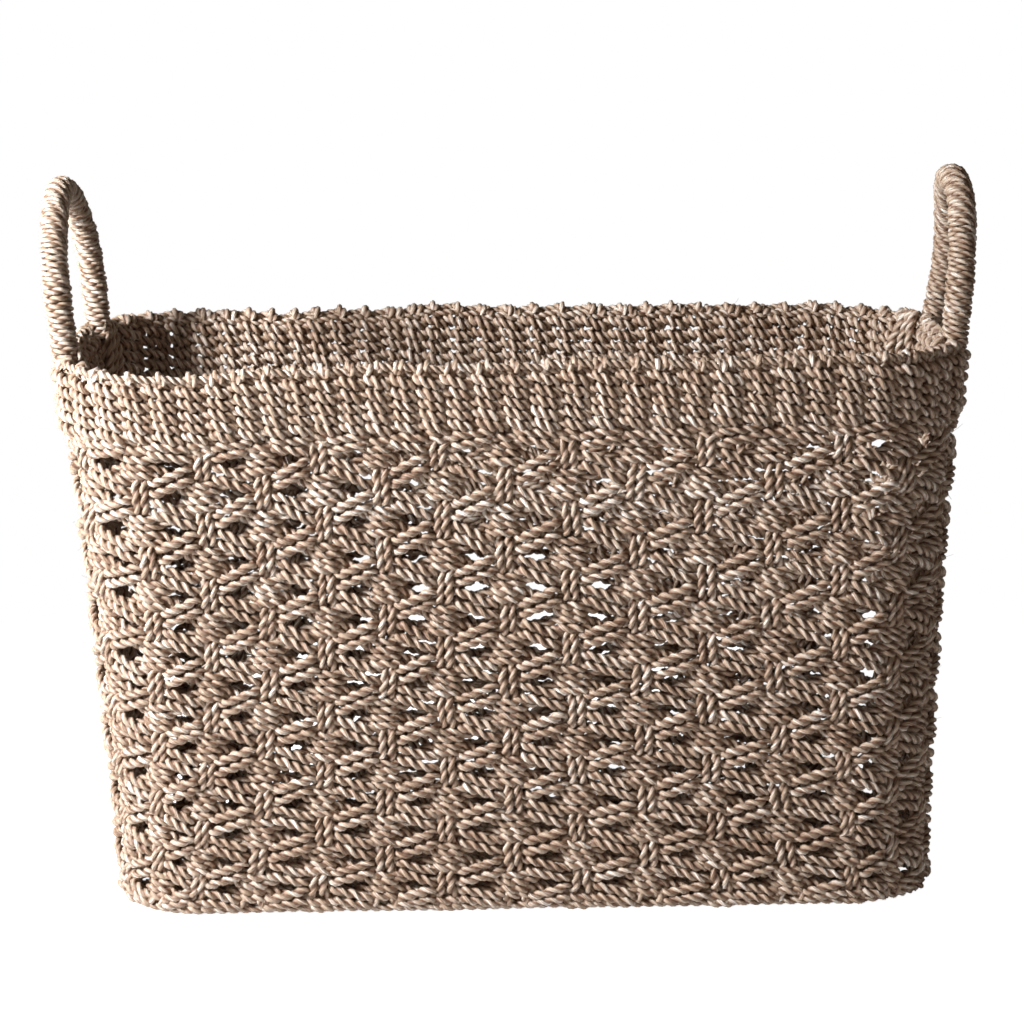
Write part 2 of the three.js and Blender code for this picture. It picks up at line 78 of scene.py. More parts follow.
def smooth_step(low: float, high: float, value: np.ndarray) -> np.ndarray:
    """Eases from 0 at low to 1 at high.

    Args:
        low: value at which the step starts.
        high: value at which the step ends.
        value: where the step is read.

    Returns:
        The eased share for each value.
    """
    share = np.clip((np.asarray(value, float) - low) / (high - low), 0.0, 1.0)
    return share * share * (3.0 - 2.0 * share)


def broad_crests(wave: np.ndarray) -> np.ndarray:
    """Broadens the crests of a wave that swings between -1 and 1."""
    return wave * (1.5 - 0.5 * wave**2)


def run_lengths(points: np.ndarray) -> np.ndarray:
    """Distances along a path, from its first point to each of its points."""
    return np.concatenate([[0.0], np.cumsum(np.linalg.norm(np.diff(points, axis=0), axis=1))])


def points_along(points: np.ndarray, run: np.ndarray, wanted: np.ndarray) -> np.ndarray:
    """Reads a path at wanted distances along it.

    Args:
        points: the path, one point per row.
        run: how far along the path each of its points is.
        wanted: the distances at which it is read.

    Returns:
        One point per wanted distance.
    """
    return np.stack([np.interp(wanted, run, points[:, axis]) for axis in range(3)], axis=1)


@dataclass
class Unevenness:
    """Small hand-made shifts of the weave, the same for every cord that passes a place."""

    columns: int
    levels: int = 20
    height: float = 0.29
    along: float = 0.0013
    up: float = 0.0008
    out: float = 0.0008
    seed: int = 41
    table: np.ndarray = field(init=False)

    def __post_init__(self) -> None:
        """Draws the shifts at each column and level."""
        draw = np.random.default_rng(self.seed)
        self.table = draw.uniform(-1.0, 1.0, (3, self.columns, self.levels))

    def shifts(self, column: np.ndarray, height: np.ndarray) -> tuple[np.ndarray, np.ndarray, np.ndarray]:
        """Reads the shifts along the wall, upwards and outwards.

        Args:
            column: places round the wall, in columns.
            height: heights over the floor.

        Returns:
            Three arrays of lengths in metres.
        """
        wrapped = np.mod(column, self.columns)
        level = np.clip(np.asarray(height) / self.height, 0.0, 1.0) * (self.levels - 1)
        first = np.floor(wrapped).astype(int) % self.columns
        second = (first + 1) % self.columns
        lower = np.minimum(np.floor(level).astype(int), self.levels - 2)
        across = smooth_step(0.0, 1.0, wrapped - np.floor(wrapped))
        rise = smooth_step(0.0, 1.0, level - lower)
        values = []
        for channel, reach in zip(self.table, (self.along, self.up, self.out)):
            below = channel[first, lower] * (1 - across) + channel[second, lower] * across
            above = channel[first, lower + 1] * (1 - across) + channel[second, lower + 1] * across
            values.append(reach * (below * (1 - rise) + above * rise))
        return values[0], values[1], values[2]


@dataclass
class Wall:
    """The middle surface of the flared wall, counted in stake columns anticlockwise from the middle of the front."""

    # The outline at the rim and at the base, and how it widens.
    rim_half_length: float = 0.217
    rim_half_width: float = 0.084
    base_half_length: float = 0.202
    base_half_width: float = 0.073
    rim_corner_radius: float = 0.050
    base_corner_radius: float = 0.042
    flare_height: float = 0.280
    flare_power: float = 1.3
    front_columns: int = 13
    end_columns: int = 5
    # How far the stakes stand from their even places, in columns.
    drift: float = 0.16
    drift_half_wave: float = 6.0
    drift_end: float = 7.5
    base_spread: float = 0.17
    base_drift: float = 0.03
    spread_peak: float = 4.8
    spread_end: float = 7.3
    spread_height: float = 0.250
    # How the wall leans, and how its rim dips and rises.
    rim_height: float = 0.2793
    base_lean: float = 0.0034
    saddle: float = 0.0022
    corner_dip: float = 0.0038
    dip_column: float = 30.6
    dip_spread: float = 1.5
    rim_crown: float = 0.0026
    crown_reach: float = 0.15
    crown_power: int = 5
    back_rise: float = 0.0030
    back_column: float = 12.4
    back_spread: float = 1.4
    # Where the foot is pushed out, the back's courses are lifted and the front rim sags.
    foot_push: float = 0.0018
    foot_column: float = 6.9
    foot_spread: float = 1.0
    foot_push_top: float = 0.07
    back_lift: float = 0.0075
    back_depths: tuple[float, float] = (0.02, 0.06)
    lift_foot: tuple[float, float] = (0.01, 0.05)
    lift_top: tuple[float, float] = (0.19, 0.238)
    front_sag: float = 0.0042
    sag_middle: float = 0.030
    sag_reach: float = 0.20
    sag_heights: tuple[float, float] = (0.236, 0.281)
    sag_depth: float = 0.05
    # Where the unevenness is freer than at the front, and where it fades out.
    back_freedom: float = 1.3
    freedom_spread: float = 7.0
    even_height: float = 0.02
    highest_share: float = 1.2
    # Where the rim band begins, and how far the handles' legs are from the middle of an end, in columns.
    band_bottom: float = 0.2439
    leg_offset: float = 1.5
    unevenness: Unevenness = field(init=False)

    def __post_init__(self) -> None:
        """Sets up the hand-made unevenness for this number of columns."""
        self.unevenness = Unevenness(self.columns)

    @property
    def columns(self) -> int:
        """Number of stake columns round the wall."""
        return 2 * (self.front_columns + self.end_columns)

    @property
    def quarter_columns(self) -> float:
        """Columns from the middle of the front to the middle of an end."""
        return self.columns / 4

    def hump(self, column: np.ndarray, middle: float, spread: float) -> np.ndarray:
        """A smooth hump of height 1 round a column, with a spread in columns, the short way round the wall."""
        away = (np.asarray(column, float) - middle + self.columns / 2) % self.columns - self.columns / 2
        return np.exp(-((away / spread) ** 2))

    def base_share(self, height: np.ndarray) -> np.ndarray:
        """Share of the base's spacing at a height: all at the underside, none at the top."""
        return np.clip(1 - np.asarray(height, float) / self.spread_height, 0.0, 1.0) ** 2

    def column_drift(self, near: np.ndarray, height: np.ndarray) -> np.ndarray:
        """How far a stake stands to the left of its even place, in columns."""
        wave = self.drift * np.cos(math.pi * np.minimum(near, self.drift_half_wave) / self.drift_half_wave)
        fade = np.clip((near - self.drift_half_wave) / (self.drift_end - self.drift_half_wave), 0.0, 1.0)
        return (wave + self.base_drift * near * self.base_share(height)) * np.cos(fade * math.pi / 2) ** 2

    def column_spread(self, near: np.ndarray, height: np.ndarray) -> np.ndarray:
        """How far a stake stands away from the middle of its long wall, in columns."""
        fall = np.clip((self.spread_end - near) / (self.spread_end - self.spread_peak), 0.0, 1.0)
        return self.base_spread * np.minimum(near, self.spread_peak) * fall * self.base_share(height)

    def outline(self, height: np.ndarray) -> tuple[np.ndarray, np.ndarray, np.ndarray]:
        """Half length, half width and corner radius of the wall at a height."""
        flare = (np.maximum(0.0, height) / self.flare_height) ** self.flare_power
        length = self.base_half_length + (self.rim_half_length - self.base_half_length) * flare
        width = self.base_half_width + (self.rim_half_width - self.base_half_width) * flare
        radius = self.base_corner_radius + (self.rim_corner_radius - self.base_corner_radius) * flare
        return length, width, radius

    def pitch(self, height: np.ndarray) -> np.ndarray:
        """Mean distance between neighbouring columns at a height."""
        length, width, radius = self.outline(height)
        return (length + width - 2 * radius + radius * math.pi / 2) / self.quarter_columns

    def base_reach(self, place: float) -> float:
        """Half length of the base at a place across it."""
        radius = self.base_corner_radius
        beyond = max(0.0, abs(place) - (self.base_half_width - radius))
        return self.base_half_length - radius + math.sqrt(max(0.0, radius**2 - beyond**2))

    def surface(self, column: np.ndarray, height: np.ndarray) -> tuple[np.ndarray, np.ndarray]:
        """Finds the even wall, without any hand-made unevenness.

        Args:
            column: places round the wall, in columns.
            height: heights over the floor.

        Returns:
            Points of the surface and its outward directions, one row each.
        """
        column, height = np.broadcast_arrays(np.asarray(column, float), np.asarray(height, float))
        length, width, radius = self.outline(height)
        turned = np.mod(column, self.columns)
        beyond = turned > self.columns / 2
        side = np.where(beyond, self.columns - turned, turned)
        behind = side > self.quarter_columns
        near = np.where(behind, self.columns / 2 - side, side)
        sign_x = np.where(beyond, -1.0, 1.0)
        sign_y = np.where(behind, -1.0, 1.0)
        moved = near - sign_x * self.column_drift(near, height) + self.column_spread(near, height)
        distance = moved * self.pitch(height)
        straight = length - radius
        angle = np.clip((distance - straight) / radius, 0.0, math.pi / 2)
        beyond_arc = np.maximum(0.0, distance - straight - radius * math.pi / 2)
        x = np.where(distance < straight, distance, straight + radius * np.sin(angle))
        y = -width + radius * (1 - np.cos(angle)) + beyond_arc
        points = np.stack([sign_x * x, sign_y * y, height], axis=-1)
        outward = np.stack([sign_x * np.sin(angle), -sign_y * np.cos(angle), np.zeros_like(angle)], axis=-1)
        return points, outward

    def place(self, column: np.ndarray, height: np.ndarray, depth: np.ndarray) -> np.ndarray:
        """Finds points of the real, slightly uneven wall.

        Args:
            column: places round the wall, in columns.
            height: heights over the floor.
            depth: distances outwards from the wall's middle surface.

        Returns:
            One point per row.
        """
        column, height, depth = np.broadcast_arrays(
            np.asarray(column, float), np.asarray(height, float), np.asarray(depth, float)
        )
        along, up, out = self.unevenness.shifts(column, height)
        freer = 1 + self.back_freedom * self.hump(column, self.columns / 2, self.freedom_spread)
        along, up = along * freer, up * freer
        points, outward = self.surface(column + along / self.pitch(self.rim_height / 2), height)
        fade = smooth_step(0.0, self.even_height, height)
        push = self.foot_push * self.hump(column, self.foot_column, self.foot_spread)
        push = push * (1 - smooth_step(0.0, self.foot_push_top, height))
        points = points + outward * (depth + out * fade + push)[..., None]
        share = np.clip(height / self.rim_height, 0.0, self.highest_share)
        slope = points[..., 0] * points[..., 1] / (self.rim_half_length * self.rim_half_width)
        dip = self.hump(column, self.dip_column, self.dip_spread)
        crown = self.rim_crown * np.clip(1 - (points[..., 0] / self.crown_reach) ** 2, 0.0, 1.0)
        crown = crown + self.back_rise * self.hump(column, self.back_column, self.back_spread)
        lift = self.back_lift * smooth_step(*self.back_depths, points[..., 1]) * smooth_step(*self.lift_foot, height)
        lift = lift * (1 - smooth_step(*self.lift_top, height))
        points[..., 0] += self.base_lean * (1 - share)
        points[..., 2] += up * fade + lift - (self.saddle * slope + self.corner_dip * dip) * share**2
        points[..., 2] += crown * share**self.crown_power
        reach = np.clip(1 - ((points[..., 0] - self.sag_middle) / self.sag_reach) ** 2, 0.0, 1.0)
        sag = self.front_sag * reach * smooth_step(*self.sag_heights, height)
        points[..., 2] -= sag * smooth_step(0.0, self.sag_depth, -points[..., 1])
        return points


@dataclass
class Strand:
    """One cord's path, with its radius at each point and what sets it apart from its neighbours."""

    points: np.ndarray
    radius: np.ndarray
    phase: float
    tint: float


@dataclass
class Spool:
    """Cuts strands and gives each its own thickness, turn and tone."""

    seed: int
    thickness_spread: float = 0.07
    lump: float = 0.06
    lump_length: float = 0.03
    tone_spread: float = 0.16
    draw: np.random.Generator = field(init=False)

    def __post_init__(self) -> None:
        """Starts this spool's own row of random numbers."""
        self.draw = np.random.default_rng(self.seed)

    def ripple(self, count: int, stations: float, reach: float) -> np.ndarray:
        """A smooth random wave along a strand.

        Args:
            count: number of points of the strand.
            stations: number of random values along it.
            reach: largest value, to either side.

        Returns:
            One value per point.
        """
        knots = max(2, int(round(stations)) + 1)
        values = self.draw.uniform(-reach, reach, knots)
        place = np.linspace(0.0, knots - 1.0, count)
        first = np.minimum(np.floor(place).astype(int), knots - 2)
        share = smooth_step(0.0, 1.0, place - first)
        return values[first] * (1 - share) + values[first + 1] * share

    def cut(self, points: np.ndarray, radius: float, tone: float = 0.5) -> Strand:
        """Makes a strand along a path.

        Args:
            points: the path, one point per row.
            radius: mean radius of the cord.
            tone: mean place in the cord's range of tones, from 0 dark to 1 pale.

        Returns:
            The strand.
        """
        length = float(np.linalg.norm(np.diff(points, axis=0), axis=1).sum())
        mean = radius * (1 + self.draw.uniform(-self.thickness_spread, self.thickness_spread))
        lumps = self.ripple(len(points), length / self.lump_length, self.lump)
        tint = float(np.clip(tone + self.draw.normal(0.0, self.tone_spread), 0.0, 1.0))
        return Strand(points, mean * (1 + lumps), float(self.draw.uniform(0, 2 * math.pi)), tint)


@dataclass
class NodeBench:
    """Builds up one node tree."""

    tree: bpy.types.NodeTree

    def feed(self, socket: bpy.types.NodeSocket, value: object) -> None:
        """Links a socket to an input, or sets the input to a plain value."""
        if isinstance(value, bpy.types.NodeSocket):
            self.tree.links.new(value, socket)
        else:
            socket.default_value = value

    def add(self, kind: str, feeds: dict[str | int, object] | None = None, **values: object) -> bpy.types.Node:
        """Adds a node.

        Args:
            kind: the node's type.
            feeds: what each input takes, by its name or number: a socket or a plain value.
            **values: the node's plain properties, which are set first.

        Returns:
            The node.
        """
        node = self.tree.nodes.new(kind)
        for key, value in values.items():
            setattr(node, key, value)
        for key, value in (feeds or {}).items():
            self.feed(node.inputs[key], value)
        return node

    def math(self, operation: str, *terms: object) -> bpy.types.NodeSocket:
        """Adds a math node, fed by sockets or numbers, and returns its result."""
        return self.add("ShaderNodeMath", dict(enumerate(terms)), operation=operation).outputs[0]

    def blend(self, *terms: tuple[bpy.types.NodeSocket, float]) -> bpy.types.NodeSocket:
        """Adds up sockets, each times its own number, and returns the sum."""
        total, *others = (self.math("MULTIPLY", *term) for term in terms)
        for other in others:
            total = self.math("ADD", total, other)
        return total

    def shown(self, hidden: bpy.types.NodeSocket, seen: bpy.types.NodeSocket) -> bpy.types.NodeSocket:
        """Picks one shader for what the camera sees directly and another for all other light."""
        camera = self.add("ShaderNodeLightPath").outputs["Is Camera Ray"]
        return self.add("ShaderNodeMixShader", {"Fac": camera, 1: hidden, 2: seen}).outputs["Shader"]


@dataclass
class TwoPlyCord:
    """Geometry Nodes that lay a twisted two-ply cord along every path of an edge mesh."""

    name: str = "two_ply_cord"
    lay: Lay = Lay.S
    lay_length: float = 0.0118
    ring_spacing: float = 0.0016
    profile_points: int = 10
    ply_offset: float = 0.41
    ply_radius: float = 0.61
    bench: NodeBench = field(init=False)

    def __post_init__(self) -> None:
        """Builds the node tree."""
        self.bench = NodeBench(bpy.data.node_groups.new(self.name, "GeometryNodeTree"))
        self._add_sockets()
        self._add_nodes()

    def _add_sockets(self) -> None:
        face = self.bench.tree.interface
        face.new_socket("Paths", in_out="INPUT", socket_type="NodeSocketGeometry")
        sizes = {
            "Ring Spacing": self.ring_spacing,
            "Lay Length": self.lay_length,
            "Lay Direction": float(self.lay.value),
            "Ply Offset": self.ply_offset,
            "Ply Radius": self.ply_radius,
            "Profile Points": self.profile_points,
        }
        for label, value in sizes.items():
            kind = "NodeSocketInt" if isinstance(value, int) else "NodeSocketFloat"
            face.new_socket(label, in_out="INPUT", socket_type=kind).default_value = value
        face.new_socket("Finish", in_out="INPUT", socket_type="NodeSocketMaterial")
        face.new_socket("Cord", in_out="OUTPUT", socket_type="NodeSocketGeometry")

    def _named(self, name: str) -> bpy.types.NodeSocket:
        """Reads a number stored on the paths."""
        return self.bench.add("GeometryNodeInputNamedAttribute", {"Name": name}, data_type="FLOAT").outputs["Attribute"]

    def _store(
        self, geometry: bpy.types.NodeSocket, name: str, kind: str, value: bpy.types.NodeSocket
    ) -> bpy.types.NodeSocket:
        """Keeps a value with the points, for the material."""
        feeds = {"Geometry": geometry, "Name": name, "Value": value}
        node = self.bench.add("GeometryNodeStoreNamedAttribute", feeds, data_type=kind, domain="POINT")
        return node.outputs["Geometry"]

    def _profile(self, inputs: bpy.types.Node) -> bpy.types.NodeSocket:
        """Builds the closed outline of two plies that lie side by side."""
        add, combine = self.bench.add, self.bench.math
        size = {"Radius": 1.0, "Resolution": inputs.outputs["Profile Points"]}
        circle = add("GeometryNodeCurvePrimitiveCircle", size, mode="RADIUS").outputs["Curve"]
        half_step = (0.0, 0.0, math.pi / self.profile_points)
        turned = add("GeometryNodeTransform", {"Geometry": circle, "Rotation": half_step}).outputs["Geometry"]
        place = add("GeometryNodeInputPosition").outputs["Position"]
        kept = self._store(turned, "ply_side", "FLOAT_VECTOR", place)
        parts = add("ShaderNodeSeparateXYZ", {"Vector": place}).outputs
        offset, ply = inputs.outputs["Ply Offset"], inputs.outputs["Ply Radius"]
        near = combine("MULTIPLY", combine("ABSOLUTE", parts["X"]), offset)
        sunk = combine("MULTIPLY", parts["Y"], offset)
        rest = combine("SUBTRACT", combine("MULTIPLY", ply, ply), combine("MULTIPLY", sunk, sunk))
        reach = combine("ADD", near, combine("SQRT", rest))
        scaled = add("ShaderNodeVectorMath", {0: place, "Scale": reach}, operation="SCALE").outputs["Vector"]
        return add("GeometryNodeSetPosition", {"Geometry": kept, "Position": scaled}).outputs["Geometry"]

    def _add_nodes(self) -> None:
        """Links the steps from the edge paths to the dressed cord."""
        add, combine = self.bench.add, self.bench.math
        inputs = add("NodeGroupInput")
        curves = add("GeometryNodeMeshToCurve", {"Mesh": inputs.outputs["Paths"]}).outputs["Curve"]
        spaced = {"Curve": curves, "Length": inputs.outputs["Ring Spacing"]}
        rings = add("GeometryNodeResampleCurve", spaced, mode="LENGTH").outputs["Curve"]
        run = add("GeometryNodeSplineParameter").outputs["Length"]
        kept = self._store(rings, "cord_run", "FLOAT", run)
        turns = combine("DIVIDE", self._named("cord_run"), inputs.outputs["Lay Length"])
        signed = combine("MULTIPLY", turns, inputs.outputs["Lay Direction"])
        angle = combine("ADD", combine("MULTIPLY", signed, 2 * math.pi), self._named("cord_phase"))
        twisted = add("GeometryNodeSetCurveTilt", {"Curve": kept, "Tilt": angle}).outputs["Curve"]
        swept = {"Curve": twisted, "Profile Curve": self._profile(inputs), "Scale": self._named("cord_radius")}
        cord = add("GeometryNodeCurveToMesh", {**swept, "Fill Caps": True}).outputs["Mesh"]
        smooth = add("GeometryNodeSetShadeSmooth", {"Geometry": cord}).outputs["Geometry"]
        whole = add("GeometryNodeRealizeInstances", {"Geometry": smooth}).outputs["Geometry"]
        dressed = add("GeometryNodeSetMaterial", {"Geometry": whole, "Material": inputs.outputs["Finish"]})
        add("NodeGroupOutput", {"Cord": dressed.outputs["Geometry"]})

    def lay_cords(
        self, name: str, strands: list[Strand], material: bpy.types.Material, **sizes: float
    ) -> bpy.types.Object:
        """Turns strands into one finished mesh object.

        Args:
            name: name of the piece.
            strands: the cords that it is made of.
            material: the finish.
            **sizes: values for the tree's inputs, by their names in lower case with underscores.

        Returns:
            The object, at the origin, with no modifier left on it.
        """
        source = bpy.data.objects.new(name + "_paths", self._edge_mesh(name, strands))
        bpy.context.scene.collection.objects.link(source)
        modifier = source.modifiers.new("cord", "NODES")
        modifier.node_group = self.bench.tree
        wanted = {key.replace("_", " ").title(): value for key, value in sizes.items()}
        for item in self.bench.tree.interface.items_tree:
            if item.in_out == "INPUT" and item.name in wanted:
                modifier[item.identifier] = wanted[item.name]
            elif item.in_out == "INPUT" and item.name == "Finish":
                modifier[item.identifier] = material
        graph = bpy.context.evaluated_depsgraph_get()
        mesh = bpy.data.meshes.new_from_object(source.evaluated_get(graph))
        bpy.data.objects.remove(source)
        mesh.name = name
        piece = bpy.data.objects.new(name, mesh)
        bpy.context.scene.collection.objects.link(piece)
        return piece

    @staticmethod
    def _edge_mesh(name: str, strands: list[Strand]) -> bpy.types.Mesh:
        """Draws the strands as chains of edges, with each strand's numbers on its points."""
        counts = [len(strand.points) for strand in strands]
        starts = np.concatenate([[0], np.cumsum(counts)[:-1]])
        points = np.concatenate([strand.points for strand in strands])
        edges = np.concatenate(
            [
                np.stack([np.arange(count - 1), np.arange(1, count)], axis=1) + start
                for count, start in zip(counts, starts)
            ]
        )
        mesh = bpy.data.meshes.new(name + "_paths")
        mesh.vertices.add(len(points))
        mesh.vertices.foreach_set("co", points.astype(np.float32).ravel())
        mesh.edges.add(len(edges))
        mesh.edges.foreach_set("vertices", edges.astype(np.int32).ravel())
        columns = {
            "cord_radius": np.concatenate([strand.radius for strand in strands]),
            "cord_phase": np.repeat([strand.phase for strand in strands], counts),
            "cord_tint": np.repeat([strand.tint for strand in strands], counts),
        }
        for key, values in columns.items():
            mesh.attributes.new(key, "FLOAT", "POINT").data.foreach_set("value", values.astype(np.float32))
        mesh.update()
        return mesh


@dataclass(frozen=True)
class CordFinish:
    """Dry plant fibre, twisted into plies.

    Each grain is the detail and the roughness of a noise. The offsets keep the noises of two cords or plies apart.
    """

    name: str
    slot: str
    dark: tuple[float, float, float] = (0.15, 0.058, 0.022)
    middle: tuple[float, float, float] = (0.465, 0.336, 0.233)
    pale: tuple[float, float, float] = (0.90, 0.86, 0.79)
    tone_stops: tuple[float, float, float] = (0.16, 0.50, 0.82)
    fibre_run: float = 75.0
    fibre_sides: float = 4.0
    fibre_offset: float = 91.0
    fibre_grain: tuple[float, float] = (4.0, 0.62)
    patch_run: float = 40.0
    patch_offset: float = 53.0
    patch_ply_offset: float = 3.1
    patch_grain: tuple[float, float] = (2.0, 0.5)
    fibre_share: float = 1.45
    patch_share: float = 0.5
    tint_share: float = 0.22
    # Painted light: a darker, redder colour in the crease between the plies stands for the shade and bounced light
    # there, and a brighter one on the plies' crests stands for their highlight.
    crease_painted_shade: tuple[float, float, float] = (0.36, 0.22, 0.14)
    crest_painted_highlight: float = 1.14
    painted_highlight_place: float = 0.95
    gloss_span: tuple[float, float] = (0.3, 0.7)
    dull_roughness: float = 0.61
    glossy_roughness: float = 0.37
    specular: float = 0.6
    sheen: float = 0.04
    sheen_roughness: float = 0.5
    bump_strength: float = 0.9
    bump_depth: float = 0.00022

    @staticmethod
    def _stored(bench: NodeBench, name: str, output: str = "Fac") -> bpy.types.NodeSocket:
        """Reads what the cord tree keeps under a name."""
        return bench.add("ShaderNodeAttribute", attribute_name=name).outputs[output]

    @staticmethod
    def _noise(bench: NodeBench, grain: tuple[float, float], *place: bpy.types.NodeSocket) -> bpy.types.NodeSocket:
        """Reads a noise of the given grain at a place of three numbers."""
        at = bench.add("ShaderNodeCombineXYZ", dict(zip("XYZ", place))).outputs["Vector"]
        feeds = {"Vector": at, "Scale": 1.0, "Detail": grain[0], "Roughness": grain[1]}
        return bench.add("ShaderNodeTexNoise", feeds, noise_dimensions="3D").outputs["Fac"]

    def _colour(
        self, bench: NodeBench, tone: bpy.types.NodeSocket, across: bpy.types.NodeSocket
    ) -> bpy.types.NodeSocket:
        """Turns a tone into a colour, with painted shade in the crease between the plies and a painted highlight on the
        plies' crests.

        Args:
            bench: the material's nodes.
            tone: the tone, from 0 dark to 1 pale.
            across: the place across the cord, 0 in the crease and 1 or -1 on the plies' outer sides.

        Returns:
            The colour.
        """
        ramp = bench.add("ShaderNodeValToRGB", {"Fac": tone})
        ramp.color_ramp.interpolation = "EASE"
        ramp.color_ramp.elements.new(self.tone_stops[1])
        colours = (self.dark, self.middle, self.pale)
        for stop, place, colour in zip(ramp.color_ramp.elements, self.tone_stops, colours):
            stop.position = place
            stop.color = (*colour, 1.0)
        # Painted shade in the crease and a painted highlight on the crests, set by the place across the cord.
        rise = {"Value": bench.math("ABSOLUTE", across), "From Max": self.painted_highlight_place}
        crown = bench.add("ShaderNodeMapRange", rise, interpolation_type="SMOOTHSTEP").outputs["Result"]
        ends = {"Factor": crown, "A": (*self.crease_painted_shade, 1.0), "B": (*[self.crest_painted_highlight] * 3, 1.0)}
        painted_shade_and_highlight = bench.add("ShaderNodeMix", ends, data_type="RGBA").outputs["Result"]
        layers = {"Factor": 1.0, "A": ramp.outputs["Color"], "B": painted_shade_and_highlight}
        return bench.add("ShaderNodeMix", layers, data_type="RGBA", blend_type="MULTIPLY").outputs["Result"]

    def build(self) -> bpy.types.Material:
        """Builds the material from the attributes that the cord tree keeps.

        Returns:
            The material, which reads only the cord's own attributes.
        """
        material = bpy.data.materials.new(self.name)
        material.use_nodes = True
        bench = NodeBench(material.node_tree)
        run, tint = self._stored(bench, "cord_run"), self._stored(bench, "cord_tint")
        side = bench.add("ShaderNodeSeparateXYZ", {"Vector": self._stored(bench, "ply_side", "Vector")}).outputs
        fibre = self._noise(
            bench,
            self.fibre_grain,
            bench.blend((run, self.fibre_run), (tint, self.fibre_offset)),
            bench.blend((side["X"], self.fibre_sides)),
            bench.blend((side["Y"], self.fibre_sides)),
        )
        patch = self._noise(
            bench,
            self.patch_grain,
            bench.blend((run, self.patch_run)),
            bench.blend((tint, self.patch_offset)),
            bench.blend((bench.math("SIGN", side["X"]), self.patch_ply_offset)),
        )
        tone = bench.blend((fibre, self.fibre_share), (patch, self.patch_share), (tint, self.tint_share))
        even = (self.fibre_share + self.patch_share + self.tint_share - 1) / 2
        span = {"Value": fibre, "From Min": self.gloss_span[0], "From Max": self.gloss_span[1]}
        gloss = bench.add(
            "ShaderNodeMapRange", {**span, "To Min": self.dull_roughness, "To Max": self.glossy_roughness}
        )
        grooves = {"Height": fibre, "Strength": self.bump_strength, "Distance": self.bump_depth}
        feeds = {
            "Base Color": self._colour(bench, bench.math("SUBTRACT", tone, even), side["X"]),
            "Roughness": gloss.outputs["Result"],
            "Normal": bench.add("ShaderNodeBump", grooves).outputs["Normal"],
            "Specular IOR Level": self.specular,
            "Sheen Weight": self.sheen,
            "Sheen Roughness": self.sheen_roughness,
        }
        shader = bench.tree.nodes["Principled BSDF"]
        for name, value in feeds.items():
            bench.feed(shader.inputs[name], value)
        return material


@dataclass
class Workshop:
    """What every sub-assembly works with: the wall, the cord maker and the finishes."""

    wall: Wall
    cord: TwoPlyCord
    finishes: dict[str, bpy.types.Material]
    pieces: list[bpy.types.Object] = field(default_factory=list)

    def finish_piece(
        self, name: str, strands: list[Strand], slot: str, nodes: tuple[str, ...], **sizes: float
    ) -> None:
        """Makes a piece from strands and puts it in place of its solids.

        Args:
            name: name of the piece.
            strands: the cords of the piece.
            slot: the material slot that its finish belongs to.
            nodes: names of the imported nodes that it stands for.
            **sizes: values for the cord tree's inputs.
        """
        piece = self.cord.lay_cords(name, strands, self.finishes[slot], **sizes)
        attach(piece, BODY)
        if nodes:
            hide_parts(*nodes)
        self.pieces.append(piece)
        LOG.info("%s: %d cords, %d faces", name, len(strands), len(piece.data.polygons))

    def triangles(self) -> int:
        """Number of triangles in all the finished pieces."""
        return sum(len(polygon.vertices) - 2 for piece in self.pieces for polygon in piece.data.polygons)


